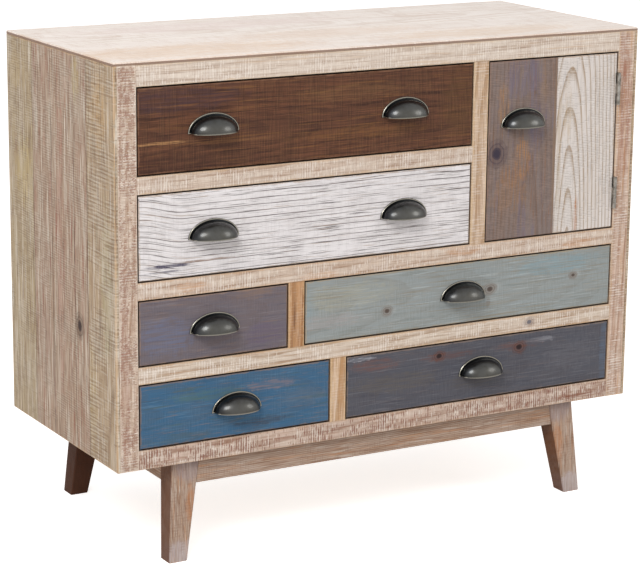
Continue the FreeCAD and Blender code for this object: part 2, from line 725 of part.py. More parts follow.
def drawer(colour):
    opening_left, opening_width, opening_bottom, opening_height, pulls = DRAWERS[colour]
    left = f"{opening_left} + front_gap"
    width = f"({opening_width} - 2 * front_gap)"
    bottom = f"{opening_bottom} + front_gap"
    height = f"({opening_height} - 2 * front_gap)"
    side_height = f"({height} - drawer_rim_drop)"
    housed_front = "front_recess + front_thickness - groove_depth"
    side_length = "drawer_length + groove_depth"
    inner_left = f"{left} + drawer_wall - groove_depth"
    inner_width = f"{width} - 2 * (drawer_wall - groove_depth)"
    side_size = ("drawer_wall", side_length, side_height)
    side_places = {
        "left": (left, housed_front, bottom),
        "right": (f"{left} + {width} - drawer_wall", housed_front, bottom),
    }
    base_place = (inner_left, housed_front, f"{bottom} + groove_height")
    base_size = (inner_width, side_length, "ply_thickness")
    back_y = "front_recess + front_thickness + drawer_length - drawer_back_inset - drawer_wall"
    back_place = (inner_left, back_y, f"{bottom} + groove_height + ply_thickness")
    back_size = (inner_width, "drawer_wall", f"{side_height} - groove_height - ply_thickness")

    front = piece(f"{colour}_drawer_front", (left, "front_recess", bottom))
    block(front, "board", (left, "front_recess", bottom), (width, "front_thickness", height))
    ease(front, "case_arris", at_front)
    for side, place in side_places.items():
        block(front, f"{side}_housing", place, side_size, cut=True)
    block(front, "bottom_groove", base_place, base_size, cut=True)

    walls = []
    for side, place in side_places.items():
        wall = piece(f"{colour}_drawer_{side}_side", place)
        block(wall, "board", place, side_size)
        block(wall, "bottom_groove", base_place, base_size, cut=True)
        block(wall, "back_housing", back_place, back_size, cut=True)
        walls.append(wall)
    back = piece(f"{colour}_drawer_back", back_place)
    block(back, "board", back_place, back_size)
    walls.append(back)
    group(f"{colour}_drawer_box", walls)

    base = piece(f"{colour}_drawer_bottom", base_place)
    block(base, "board", base_place, base_size)

    middle = f"{opening_left} + ({opening_width}) / 2"
    rim = f"{opening_bottom} + {opening_height} / 2 - pull_drop"
    if pulls == 1:
        pull(f"{colour}_drawer_pull", middle, rim)
    else:
        places = (f"{middle} - pull_spacing / 2", f"{middle} + pull_spacing / 2")
        cups = [pull(f"{colour}_drawer_{side}_pull", x, rim) for side, x in zip(("left", "right"), places)]
        group(f"{colour}_drawer_pulls", cups)


# Door, hinges and catch

HINGES = {
    "upper": "row_1_top - hinge_inset - hinge_height / 2",
    "lower": "row_2_bottom + hinge_inset - hinge_height / 2",
}
LEAF_SIZE = ("leaf_thickness", "leaf_depth", "hinge_height")


def leaf_place(side, level):
    x = "door_right - leaf_thickness" if side == "door" else "opening_right"
    return (x, "0", HINGES[level])


def hinge_leaf(side, level):
    """A flat leaf with its share of the barrel: the middle knuckle on the door, the outer two on the stile."""
    place = leaf_place(side, level)
    body = piece(f"{level}_{side}_leaf", (place[0], "-barrel_stand_off", place[2]))
    block(body, "leaf", place, LEAF_SIZE)
    for number in (1,) if side == "door" else (0, 2):
        level_z = f"{place[2]} + {number} * (knuckle_height + knuckle_gap)"
        neck_place = (place[0], "-barrel_stand_off", level_z)
        block(body, "neck", neck_place, ("leaf_thickness", "barrel_stand_off", "knuckle_height"))
        x, y, z = local(body, ("hinge_x", "-barrel_stand_off", level_z))
        for name, radius, cut in (("knuckle", "barrel_radius", False), ("bore", "pin_radius + pin_clearance", True)):
            sketch = sketch_on(body, "XY_Plane", f"{name}_outline", z)
            circle(sketch, x, y, radius)
            extrude(body, sketch, name, "knuckle_height", cut)
    return body


def hinge_pin(level):
    body = piece(f"{level}_hinge_pin", ("hinge_x", "-barrel_stand_off", HINGES[level]))
    sketch = sketch_on(body, "XY_Plane", "pin_outline")
    circle(sketch, "0", "0", "pin_radius")
    extrude(body, sketch, "pin", "hinge_height")
    return body


def hinges():
    group("hinge_door_leaves", [hinge_leaf("door", level) for level in HINGES])
    group("hinge_case_leaves", [hinge_leaf("case", level) for level in HINGES])
    group("hinge_pins", [hinge_pin(level) for level in HINGES])


def cut_leaf_recesses(body, side):
    for level in HINGES:
        block(body, f"{level}_leaf_recess", leaf_place(side, level), LEAF_SIZE, cut=True)


def door():
    height = "(door_top - door_bottom)"
    tongue_y = "front_recess + (front_thickness - tongue_thickness) / 2"
    tongue_place = ("board_joint - tongue_length", tongue_y, "door_bottom")
    tongue_size = ("tongue_length", "tongue_thickness", height)

    corner = ("door_left", "front_recess", "door_bottom")
    body = piece("door_left_board", corner)
    block(body, "board", corner, ("left_board_width", "front_thickness", height))
    ease(body, "case_arris", at_front)
    block(body, "groove", tongue_place, tongue_size, cut=True)

    corner = ("board_joint", "front_recess", "door_bottom")
    body = piece("door_right_board", corner)
    block(body, "board", corner, ("door_right - board_joint", "front_thickness", height))
    ease(body, "case_arris", at_front)
    block(body, "tongue", tongue_place, tongue_size)
    cut_leaf_recesses(body, "door")

    battens = []
    width = "door_right - door_left - 2 * batten_end_gap"
    for name, level in (
        ("lower", "door_bottom + batten_inset"),
        ("upper", "door_top - batten_inset - batten_height"),
    ):
        corner = ("door_left + batten_end_gap", "door_back", level)
        body = piece(f"{name}_batten", corner)
        block(body, "batten", corner, (width, "batten_thickness", "batten_height"))
        back = value("batten_thickness")
        ease(body, "arris", lambda box, back=back: box.YMin > back - TINY)
        battens.append(body)
    group("door_battens", battens)
    pull("door_pull", "door_left + left_board_width / 2", "door_top - door_pull_drop")


def catch():
    level = "row_1_top - catch_inset - catch_height"
    corner = ("partition_right", "door_back + strike_thickness + catch_clearance", level)
    body = piece("magnetic_catch", corner)
    block(body, "case", corner, ("catch_width", "catch_depth", "catch_height"))
    ease(body, "arris", lambda box: box.XMin > value("catch_width") - TINY)
    corner = ("door_left + front_gap / 2", "door_back", level)
    body = piece("strike_plate", corner)
    block(body, "plate", corner, ("strike_width", "strike_thickness", "catch_height"))


# Building, checking and writing


def build():
    top_panel()
    side_panel("left")
    side_panel("right")
    flat_panels()
    partition_and_floor()
    rear_rails()
    stile("left")
    cut_leaf_recesses(stile("right"), "case")
    for label in RAILS:
        rail(label)
    for label in UPRIGHTS:
        upright(label)
    side_runners()
    centre_runners()
    for end in ("front", "rear"):
        for side in ("left", "right"):
            leg(end, side)
        long_apron(end)
    group("side_aprons", [side_apron("left"), side_apron("right")])
    for colour in DRAWERS:
        drawer(colour)
    door()
    hinges()
    catch()
    doc.recompute()


def check():
    for item in doc.Objects:
        if "Invalid" in item.State or "Error" in item.State:
            raise RuntimeError(f"{item.Label} failed: {item.State}")
        if item.TypeId in ("PartDesign::Pocket", "PartDesign::Groove"):
            before = item.BaseFeature.Shape.Volume
            if item.Shape.Volume > before - TINY:
                raise RuntimeError(f"{item.Label} cuts nothing")
    for label, item in nodes.items():
        shape = item.Shape
        if shape.isNull() or not shape.isValid() or not shape.Solids:
            raise RuntimeError(f"{label} has no valid solid")


def write():
    os.makedirs("parts", exist_ok=True)
    for label, item in nodes.items():
        item.Shape.exportStep(f"parts/{label}.step")


sheet = sizes_sheet()
build()
check()
write()
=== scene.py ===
"""Finishes, cup pulls and fixings of a reclaimed pine sideboard, laid over its construction model."""

import math

import bmesh
import bpy
from mathutils import Matrix, Vector


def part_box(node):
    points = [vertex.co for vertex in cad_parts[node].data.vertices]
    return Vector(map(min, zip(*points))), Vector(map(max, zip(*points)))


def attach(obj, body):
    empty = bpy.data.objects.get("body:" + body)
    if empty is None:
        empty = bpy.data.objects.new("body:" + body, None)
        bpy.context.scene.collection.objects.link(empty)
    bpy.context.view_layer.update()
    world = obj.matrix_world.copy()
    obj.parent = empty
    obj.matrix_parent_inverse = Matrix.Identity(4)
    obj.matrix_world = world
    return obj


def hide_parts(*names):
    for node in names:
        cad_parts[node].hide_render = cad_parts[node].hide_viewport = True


bl_info = {
    "name": "Reclaimed Pine Sideboard",
    "version": (1, 0, 0),
    "blender": (4, 5, 0),
    "location": "3D View > Sidebar > Sideboard",
    "description": "Washed, painted and worn wood, cup pulls and fixings of a sideboard",
    "category": "Object",
}

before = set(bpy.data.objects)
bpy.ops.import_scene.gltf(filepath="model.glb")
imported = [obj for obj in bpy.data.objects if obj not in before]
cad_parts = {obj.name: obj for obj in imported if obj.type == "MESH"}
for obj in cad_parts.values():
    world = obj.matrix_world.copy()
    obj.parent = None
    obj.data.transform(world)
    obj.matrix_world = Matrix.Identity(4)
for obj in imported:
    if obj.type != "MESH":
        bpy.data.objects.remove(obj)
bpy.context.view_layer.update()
MM = 0.001
CASE_WIDTH = 900
CASE_MIDDLE_Y = 180.8
CASE_TOP = 746
DRAWER_NAMES = ("brown", "white", "taupe", "sage", "blue", "slate")
WIDE_DRAWERS = ("brown", "white")

# Sizes and places, in millimetres in the case's own frame

FRONT_SKIN = 2.2  # fronts, door boards and face frame show their colour this far back; behind it their edges are painted dark as shade in the gaps
FRONT_BACK = 20.3  # behind this a front or a door board is bare wood
LIP_EDGE = 744.2  # the lip round the top is dark below this level
GRAIN_DEPTH = 0.8
GRIT_DEPTH = 0.2  # the fine roughness of metal and plastic
FINE_SAW = 2.6 * MM  # from one fine saw mark to the next under the paint
THREAD = Vector((45, 5, 2.6)) * MM  # one thread of grain: its length, its depth and its width
PATCH_DEPTH = 30  # how far a mark on the front or the top reaches through its board
PULL_WIDTH = 82
PULL_FLANGE = 4
CUP_HEIGHT = 24.4
CUP_STANDS = 1.6  # the cup's plane lies this far in front of the pull's back
FLANGE_THICK = 0.9
BEAD_RISE = 0.7
BEAD_FALL = 0.8
RIM_REACH = 0.9  # the cup's lower rim is lightened this far up: rubbed bronze and painted highlight
RIM_START = 2  # and from this far in front of its back
CROWN_START = 10  # from here the cup's front is lightened towards its crown: rubbed bronze and painted highlight
CROWN_END = 23
HINGE_LEAF = 50
DOOR_LEAF_X = 862.5
CASE_LEAF_X = 865
HINGE_SCREW_PLACES = ((7, 0.16), (11.5, 0.5), (7, 0.84))  # depth in the case, share of the leaf's height
PULL_SCREW_SIDE = 31
PULL_SCREW_RISE = 8
BATTEN_SCREW_RISE = 21
BATTEN_SCREWS_X = (668, 722, 772, 822)
PLATE_SCREW_RISE = 8
BRAD_INSET = 5
BRAD_COLUMNS = 10
BRAD_ROWS = 7

PINE_LATE = "#b78b5a"  # dark wood of bare pine

# Radius and height of screw heads and brads, in millimetres

HINGE_SCREW = (2.6, 0.5)
PULL_SCREW = (3.6, 1.2)
BATTEN_SCREW = (3.4, 0.5)
PLATE_SCREW = (1.8, 0.2)
BRAD = (1.5, 0.2)

# The camera that the photograph's proportions gave, lamps as place and size, and floor, in metres

CAMERA_EYE = Vector((-1.8194, -3.1691, 1.2242))
CAMERA_AHEAD = Vector((0.4811, 0.8448, -0.2342))
CAMERA_ROLL = 0.577
LAMP_AIM = Vector((0, 0, 0.4))
KEY_LAMP = ((-2.6, -2.4, 3.2), 2.0)
FILL_LAMP = ((2.8, -2.4, 1.8), 1.6)
FLOOR_RADIUS = 30.0


# Colours and places


def linear(channel):
    return channel / 12.92 if channel <= 0.04045 else ((channel + 0.055) / 1.055) ** 2.4


def colour(text):
    """A colour written as red, green and blue pairs, as the linear values that shaders use."""
    return (*[linear(int(text[start : start + 2], 16) / 255) for start in (1, 3, 5)], 1.0)


def at(x, y, z):
    """A place given in millimetres from the case's left side, the face frame's front and the floor."""
    return Vector((x - CASE_WIDTH / 2, y - CASE_MIDDLE_Y, z)) * MM


def middle_of(node):
    low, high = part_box(node)
    return (low + high) / 2


def half_size_of(node):
    low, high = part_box(node)
    return (high - low) / 2


# Settings a user may change


def tint(name, description, default):
    return bpy.props.FloatVectorProperty(
        name=name, description=description, subtype="COLOR", size=4, min=0, max=1, default=colour(default)
    )


def length(name, description, millimetres):
    return bpy.props.FloatProperty(
        name=name, description=description, subtype="DISTANCE", unit="LENGTH", min=0, default=millimetres * MM
    )


def share(name, description, default):
    return bpy.props.FloatProperty(
        name=name, description=description, subtype="FACTOR", min=0, max=1, default=default
    )


def amount(name, description, unit, default):
    return bpy.props.FloatProperty(name=name, description=description, unit=unit, min=0, default=default)


class SideboardWood(bpy.types.PropertyGroup):
    early: tint("Early wood", "Pale wood between the year rings", "#c6a88f")
    late: tint("Late wood", "Dark wood of the year rings", "#a07b64")
    wash: tint("Whitewash", "Thin white paint left in the rough surface", "#dccfc2")
    saw: tint("Saw marks", "Reddish bottom of the old saw marks", "#997060")
    side_back: tint("Side, back board", "Greenish tan board at the rear of the sides", "#b5a283")
    side_middle: tint("Side, middle boards", "Pinkish boards in the middle of the sides", "#b09683")
    side_front: tint("Side, front board", "Tan board at the front of the sides", "#b59d80")
    # paler than the front's wood, partly standing in as painted light from above
    top: tint("Top", "Pale board top", "#e6d8cc")
    legs: tint("Legs", "Grey-washed wood of legs and aprons", "#ab8f79")
    inside: tint("Inside", "Bare pine inside the case", "#d9b98e")
    saw_spacing: length("Saw mark spacing", "From one saw mark to the next", 4.4)
    edge_width: length("Worn edge", "How far the wear reaches in from an edge", 3.0)


class SideboardPaint(bpy.types.PropertyGroup):
    brown: tint("Brown drawer", "Dark stain of the top drawer", "#50352a")
    white: tint("White drawer", "White paint with a little violet", "#e2dddd")
    taupe: tint("Taupe drawer", "Mauve grey paint", "#696268")
    sage: tint("Sage drawer", "Grey green paint", "#8e9494")
    blue: tint("Blue drawer", "Clear blue paint", "#3a607f")
    slate: tint("Slate drawer", "Dark blue grey paint", "#505159")
    door_left: tint("Door, left board", "Taupe paint, worn brown", "#7d706c")
    door_right: tint("Door, right board", "Whitish paint over strong grain", "#d6cec9")
    wear: share("Paint wear", "How much bare wood shows through the paint", 0.35)


class SideboardMetal(bpy.types.PropertyGroup):
    bronze: tint("Bronze", "Dark antique bronze of the pulls", "#2f3134")
    # colour of the pulls' rims, bead and crown: rubbed bronze, lightened further as painted highlight
    rubbed_and_highlight: tint("Rubbed bronze", "Rims rubbed bright", "#a8a395")
    steel: tint("Steel", "Hinges, pins and screws", "#b5b0a8")
    bead: length("Rim bead", "Width of the raised bead round a pull", 2.0)
    wall: length("Cup wall", "Thickness of a pull's cup", 1.5)


class SideboardStage(bpy.types.PropertyGroup):
    floor: tint("Floor", "Plain pale floor", "#efedec")
    world_light: share("Light all round", "Strength of the even light from all sides", 0.6)
    key_power: amount("Key lamp", "Large lamp over the front left", "POWER", 106)
    fill_power: amount("Fill lamp", "Soft lamp on the right", "POWER", 20)
    focal_length: amount("Focal length", "Camera lens", "CAMERA", 134.25)


# Wiring of shader nodes


class Wiring:
    """Adds nodes to one node tree, and joins or sets their inputs."""

    def __init__(self, tree):
        self.tree = tree

    def feed(self, socket, value):
        """Joins a socket to another, or sets it; a colour may be written as text."""
        if isinstance(value, bpy.types.NodeSocket):
            self.tree.links.new(value, socket)
        else:
            socket.default_value = colour(value) if isinstance(value, str) else value

    def node(self, kind, inputs=None, **settings):
        node = self.tree.nodes.new(kind)
        for name, value in settings.items():
            setattr(node, name, value)
        for name, value in (inputs or {}).items():
            self.feed(node.inputs[name], value)
        return node

    def sum(self, operation, *values, clamp=False):
        """One step of arithmetic on numbers."""
        node = self.node("ShaderNodeMath", operation=operation, use_clamp=clamp)
        for socket, value in zip(node.inputs, values):
            self.feed(socket, value)
        return node.outputs[0]

    def times(self, first, second):
        return self.sum("MULTIPLY", first, second)

    def plus(self, first, second):
        return self.sum("ADD", first, second)

    def minus(self, first, second):
        return self.sum("SUBTRACT", first, second)

    def vector(self, operation, *values):
        node = self.node("ShaderNodeVectorMath", operation=operation)
        for socket, value in zip(node.inputs, values):
            self.feed(socket, value)
        return node.outputs["Value" if operation == "LENGTH" else "Vector"]

    def split(self, vector):
        return self.node("ShaderNodeSeparateXYZ", {"Vector": vector}).outputs

    def join(self, x, y, z):
        return self.node("ShaderNodeCombineXYZ", {"X": x, "Y": y, "Z": z}).outputs[0]

    def span(self, value, low, high, first=0.0, last=1.0, smooth=True):
        """The value's way from low to high, as a value from first to last."""
        kind = "SMOOTHSTEP" if smooth else "LINEAR"
        inputs = {"Value": value, "From Min": low, "From Max": high, "To Min": first, "To Max": last}
        return self.node("ShaderNodeMapRange", inputs, interpolation_type=kind, clamp=True).outputs[0]

    def noise(self, vector, scale, detail, roughness=0.5):
        inputs = {"Vector": vector, "Scale": scale, "Detail": detail, "Roughness": roughness}
        return self.node("ShaderNodeTexNoise", inputs).outputs

    def mix(self, factor, first, second):
        node = self.node("ShaderNodeMix", data_type="RGBA")
        for socket, value in zip((node.inputs[0], node.inputs[6], node.inputs[7]), (factor, first, second)):
            self.feed(socket, value)
        return node.outputs[2]

    def object_place(self):
        return self.node("ShaderNodeTexCoord").outputs["Object"]

    def surface(self, inputs, height=None, bump=0.15, depth=GRIT_DEPTH):
        """The shader of a material, with relief from a height; the depth is in millimetres."""
        if height is not None:
            relief = {"Strength": bump, "Distance": depth * MM, "Height": height}
            inputs["Normal"] = self.node("ShaderNodeBump", relief).outputs[0]
        shader = self.node("ShaderNodeBsdfPrincipled", inputs)
        self.node("ShaderNodeOutputMaterial", {"Surface": shader.outputs[0]})

    def group(self, tree, inputs):
        return self.node("ShaderNodeGroup", inputs, node_tree=tree).outputs


def new_material(name):
    """An empty node material, with the wiring of its nodes."""
    material = bpy.data.materials.new(name)
    material.use_nodes = True
    material.node_tree.nodes.clear()
    return material, Wiring(material.node_tree)


def effect(name, inputs, outputs, build):
    """A shader node group with named sockets, built once and then shared."""
    tree = bpy.data.node_groups.get(name)
    if tree is None:
        tree = bpy.data.node_groups.new(name, "ShaderNodeTree")
        for label, kind in inputs.items():
            tree.interface.new_socket(label, in_out="INPUT", socket_type=f"NodeSocket{kind}")
        for label in outputs:
            tree.interface.new_socket(label, in_out="OUTPUT", socket_type="NodeSocketFloat")
        wiring = Wiring(tree)
        entry = wiring.node("NodeGroupInput").outputs
        for label, value in zip(outputs, build(wiring, entry)):
            exit_node = tree.nodes.get("Group Output") or wiring.node("NodeGroupOutput")
            wiring.feed(exit_node.inputs[label], value)
    return tree


# Effects that several finishes share


def wood_grain():
    """Year rings round a pith behind the board, fine fibres and slow changes of tone.

    The vector runs along the grain, then through the board, then across it."""

    def build(wiring, entry):
        vector = entry["Vector"]
        along, depth, across = wiring.split(vector)[:3]
        slow = wiring.vector("MULTIPLY", vector, (5, 18, 18))
        bend = wiring.vector("SUBTRACT", wiring.noise(slow, 1.0, 2.0)[1], (0.5, 0.5, 0.5))
        bend_x, bend_y = wiring.split(bend)[:2]
        lean = wiring.sum("MULTIPLY_ADD", along, entry["Tilt"], entry["Pith Depth"])
        side = wiring.minus(across, entry["Pith Across"])
        deep = wiring.sum("MULTIPLY_ADD", bend_x, entry["Waviness"], wiring.plus(depth, lean))
        wide = wiring.sum("MULTIPLY_ADD", bend_y, entry["Waviness"], side)
        radius = wiring.vector("LENGTH", wiring.join(deep, wide, 0.0))
        turn = wiring.sum("FRACT", wiring.sum("DIVIDE", radius, entry["Ring Spacing"]))
        rising = wiring.span(turn, entry["Ring Edge"], 0.93)
        rings = wiring.times(rising, wiring.span(turn, 1.0, 0.93))
        fine = wiring.vector("MULTIPLY", vector, (16, 420, 420))
        fibres = wiring.span(wiring.noise(fine, 1.0, 3.0, 0.65)[0], 0.42, 0.72)
        broad = wiring.vector("MULTIPLY", vector, (3, 30, 30))
        tone = wiring.span(wiring.noise(broad, 1.0, 3.0)[0], 0.3, 0.7)
        return rings, fibres, tone

    inputs = {"Vector": "Vector", "Pith Depth": "Float", "Pith Across": "Float", "Tilt": "Float"}
    inputs.update({"Ring Spacing": "Float", "Ring Edge": "Float", "Waviness": "Float"})
    return effect("Wood Grain", inputs, ("Rings", "Fibres", "Tone"), build)


def saw_marks():
    """Parallel marks of a coarse saw, evenly spaced but broken up.

    The vector runs along a mark, then through the board, then across the marks."""

    def build(wiring, entry):
        along, depth, across = wiring.split(entry["Vector"])[:3]
        drift = wiring.noise(entry["Vector"], 16.0, 2.0)[0]
        turn = wiring.plus(wiring.sum("DIVIDE", across, entry["Spacing"]), drift)
        wave = wiring.sum("SINE", wiring.times(turn, math.tau))
        lines = wiring.join(
            wiring.sum("DIVIDE", along, entry["Length"]),
            wiring.times(depth, 30.0),
            wiring.sum("DIVIDE", across, wiring.times(entry["Spacing"], 1.6)),
        )
        broken = wiring.noise(lines, 1.0, 2.0, 0.6)[0]
        patch = wiring.noise(entry["Vector"], 14.0, 3.0, 0.6)[0]
        level = wiring.sum("MULTIPLY_ADD", wiring.minus(patch, 0.5), entry["Patchy"], broken)
        level = wiring.sum("MULTIPLY_ADD", wave, 0.14, level)
        limit = wiring.sum("MULTIPLY_ADD", entry["Cover"], -0.42, 0.78)
        return (wiring.span(level, limit, wiring.plus(limit, 0.1)),)

    inputs = {"Vector": "Vector", "Spacing": "Float", "Length": "Float", "Cover": "Float", "Patchy": "Float"}
    return effect("Saw Marks", inputs, ("Marks",), build)


def worn_edge():
    """Wear along a board's edges. The vector is measured from the middle of the board."""

    def build(wiring, entry):
        inward = wiring.vector("SUBTRACT", entry["Half Size"], wiring.vector("ABSOLUTE", entry["Vector"]))
        a, b, c = wiring.split(inward)[:3]
        low = wiring.sum("MINIMUM", a, b)
        high = wiring.sum("MAXIMUM", a, b)
        edge = wiring.sum("MAXIMUM", low, wiring.sum("MINIMUM", high, c))
        rough = wiring.noise(entry["Vector"], 70.0, 4.0, 0.65)[0]
        reach = wiring.times(entry["Width"], wiring.span(rough, 0.3, 0.75, 0.1, 1.9, smooth=False))
        return (wiring.span(edge, reach, wiring.times(reach, 0.45)),)

    inputs = {"Vector": "Vector", "Half Size": "Vector", "Width": "Float"}
    return effect("Worn Edge", inputs, ("Wear",), build)


def spot():
    """A soft, ragged patch of an oval shape round one place."""

    def build(wiring, entry):
        offset = wiring.vector("SUBTRACT", entry["Vector"], entry["Middle"])
        reach = wiring.vector("LENGTH", wiring.vector("DIVIDE", offset, entry["Radii"]))
        rough = wiring.minus(wiring.noise(entry["Vector"], 130.0, 3.0, 0.6)[0], 0.5)
        ragged = wiring.plus(reach, wiring.times(rough, entry["Ragged"]))
        return wiring.span(ragged, 1.15, 0.55), ragged

    inputs = {"Vector": "Vector", "Middle": "Vector", "Radii": "Vector", "Ragged": "Float"}
    return effect("Spot", inputs, ("Patch", "Reach"), build)


def board_number():
    """Which board of a glued-up panel a place lies in: 0, 1, 2 and so on."""

    def build(wiring, entry):
        count = 0.0
        for number in (1, 2, 3, 4):
            past = wiring.sum("GREATER_THAN", entry["Place"], entry[f"Seam {number}"])
            count = wiring.plus(past, count)
        return (count,)

    inputs = {"Place": "Float", **{f"Seam {number}": "Float" for number in (1, 2, 3, 4)}}
    return effect("Board Number", inputs, ("Number",), build)


# Wood finishes


class BoardFinish:
    """One board's finish, laid on in coats from the bare wood up."""

    def __init__(self, name, node, order, early, late, pith, tilt, ring, waviness, seed=0, strength=1.0,
                 ring_edge=0.25, sweep=None):
        """The order names the axes along the grain, through the board and across it.

        The pith's place behind the board, the rings' spacing and their waviness are in millimetres."""
        self.node = node
        self.order = order
        self.middle = middle_of(node)
        self.half_size = half_size_of(node)
        self.material, self.wiring = new_material(name)
        self.place = self.wiring.object_place()
        self.offset = self.wiring.vector("SUBTRACT", self.place, self.middle)
        self.grain_vector = self.turned(order, seed)
        if sweep:
            self.grain_vector = self.swept(self.grain_vector, *sweep)
        grain = self.wiring.group(wood_grain(), {
            "Vector": self.grain_vector,
            "Pith Depth": pith[0] * MM,
            "Pith Across": pith[1] * MM,
            "Tilt": tilt,
            "Ring Spacing": ring * MM,
            "Ring Edge": ring_edge,
            "Waviness": waviness * MM,
        })
        self.rings, self.fibres, self.tone = grain["Rings"], grain["Fibres"], grain["Tone"]
        self.colour = self.wiring.mix(self.wiring.times(self.rings, strength), early, late)
        self.height = self.wiring.times(self.rings, 0.35)

    def turned(self, order, seed=0):
        parts = dict(zip("XYZ", self.wiring.split(self.offset)))
        turned = self.wiring.join(*[parts[axis] for axis in order])
        return self.wiring.vector("ADD", turned, (seed * 0.731, 0, 0)) if seed else turned

    def swept(self, vector, start, end, rise):
        """The grain lines bend up or down towards one end, in millimetres from the board's middle."""
        along, depth, across = self.wiring.split(vector)[:3]
        bend = self.wiring.span(along, start * MM, end * MM, 0.0, rise * MM)
        return self.wiring.join(along, depth, self.wiring.plus(across, bend))

    def numbered(self, seams):
        """Which board of a glued-up panel each place lies in, from the depths of its seams."""
        inputs = {f"Seam {number}": at(0, y, 0).y for number, y in enumerate(seams, start=1)}
        inputs["Place"] = self.wiring.split(self.place)[1]
        return self.wiring.group(board_number(), inputs)["Number"]

    def coat(self, mask, tone, strength=1.0):
        if strength < 1.0:
            mask = self.wiring.times(mask, strength)
        self.colour = self.wiring.mix(mask, self.colour, tone)

    def lift(self, mask, amount):
        self.height = self.wiring.sum("MULTIPLY_ADD", mask, amount, self.height)

    def fibre_lines(self, tone, strength):
        self.lift(self.fibres, -0.4)
        self.coat(self.fibres, tone, strength)

    def streaks(self, tone, strength, along, across, cover, seed=1, within=None):
        """Long soft streaks along the grain, in millimetres, everywhere or within a mask."""
        scale = (1 / (along * MM), 1 / (across * 2 * MM), 1 / (across * MM))
        shifted = self.wiring.vector("ADD", self.grain_vector, (seed, seed, seed))
        vector = self.wiring.vector("MULTIPLY", shifted, scale)
        level = self.wiring.noise(vector, 1.0, 3.0, 0.6)[0]
        mask = self.wiring.span(level, 0.72 - cover * 0.4, 0.82 - cover * 0.4)
        if within is not None:
            mask = self.wiring.times(mask, within)
        self.coat(mask, tone, strength)

    def paint(self, tone, cover, ring_gap, fibre_gap, patchy, scale=(9.0, 60.0, 60.0)):
        """Paint or whitewash that is thin over the hard rings, the fibres and in patches."""
        wiring = self.wiring
        patch = wiring.noise(wiring.vector("MULTIPLY", self.grain_vector, scale), 1.0, 4.0, 0.6)[0]
        level = wiring.sum("MULTIPLY_ADD", wiring.minus(patch, 0.5), patchy, cover)
        level = wiring.sum("MULTIPLY_ADD", self.rings, -ring_gap, level)
        level = wiring.sum("MULTIPLY_ADD", self.fibres, -fibre_gap, level, clamp=True)
        self.lift(level, 0.25)
        self.coat(level, tone)

    def saw(self, tone, strength, spacing, length, cover, patchy=0.8, depth=0.5, shift=0.0, within=None):
        """Saw marks across the grain; a shift sets them between those of another saw."""
        wiring = self.wiring
        vector = self.turned(self.order[::-1])
        if shift:
            vector = wiring.vector("ADD", vector, (0, 0, shift))
        marks = wiring.group(saw_marks(), {
            "Vector": vector,
            "Spacing": spacing,
            "Length": length * MM,
            "Cover": cover,
            "Patchy": patchy,
        })["Marks"]
        if within is not None:
            marks = wiring.times(marks, within)
        self.lift(marks, -depth)
        self.coat(marks, tone, strength)

    def edges(self, tone, strength, width):
        inputs = {"Vector": self.offset, "Half Size": self.half_size, "Width": width}
        wear = self.wiring.group(worn_edge(), inputs)["Wear"]
        self.coat(wear, tone, strength)

    def oval(self, place, radii, ragged):
        inputs = {"Vector": self.place, "Middle": at(*place), "Radii": Vector(radii) * MM, "Ragged": ragged}
        return self.wiring.group(spot(), inputs)

    def patch(self, place, radii, tone, strength, ragged, threads=0.8):
        """A stain, a rub or a streak, drawn out in threads of grain; its place is the case's own."""
        wiring = self.wiring
        mask = self.oval(place, radii, ragged)["Patch"]
        if threads:
            vector = wiring.vector("DIVIDE", self.grain_vector, THREAD)
            thread = wiring.span(wiring.noise(vector, 1.0, 2.0, 0.6)[0], 0.38, 0.6, 1 - threads, 1.0)
            mask = wiring.times(mask, thread)
        self.coat(mask, tone, strength)

    def mark(self, x, z, wide, tall, tone, strength, ragged=0.8, threads=0.8):
        """A patch on the front, from its middle and its reach to the side and up."""
        self.patch((x, 0, z), (wide, PATCH_DEPTH, tall), tone, strength, ragged, threads)

    def marks(self, rows):
        for row in rows:
            self.mark(*row)

    def knot(self, place, radius, core, halo, stretch=1.3):
        """A dark knot with rings round it and a stained halo drawn out along the grain."""
        wide, tall = (stretch, 1.0) if self.order[0] == "X" else (1.0, stretch)
        sides = (wide, 1.0, tall)
        self.patch(place, [radius * 2.6 * side for side in sides], halo, 0.75, 0.9, 0.4)
        outputs = self.oval(place, [side * radius for side in sides], 0.5)
        ripple = self.wiring.sum("SINE", self.wiring.times(outputs["Reach"], 9.0))
        near = self.wiring.span(outputs["Reach"], 3.2, 1.0)
        self.coat(self.wiring.times(self.wiring.span(ripple, 0.2, 0.9), near), core, 0.45)
        self.lift(outputs["Patch"], -0.6)
        self.coat(outputs["Patch"], core, 0.95)

    def behind(self, tone, y, strength=1.0):
        """Another tone on everything behind a plane, such as the back of a painted board."""
        depth = self.wiring.split(self.place)[1]
        self.coat(self.wiring.sum("GREATER_THAN", depth, at(0, y, 0).y), tone, strength)

    def bare(self, wood, y):
        """Unpainted wood with its rings and fibres on everything behind a plane."""
        wiring = self.wiring
        tone = wiring.mix(wiring.times(self.rings, 0.4), wood.inside, PINE_LATE)
        tone = wiring.mix(wiring.times(self.fibres, 0.4), tone, "#ae875c")
        tone = wiring.mix(wiring.times(self.tone, 0.35), tone, "#c9a373")
        self.behind(tone, y)

    def front_board(self, wood, rim, strength=0.6):
        """The last coats of a drawer front or a door board: worn rim, edges painted dark as the shade in the
        gaps round it, and bare back.
        """
        self.edges(rim, strength, wood.edge_width * 0.7)
        # painted shade: the front's edges are darkened so that the gaps round it look dark
        self.behind("#4a382c", FRONT_SKIN)
        self.bare(wood, FRONT_BACK)

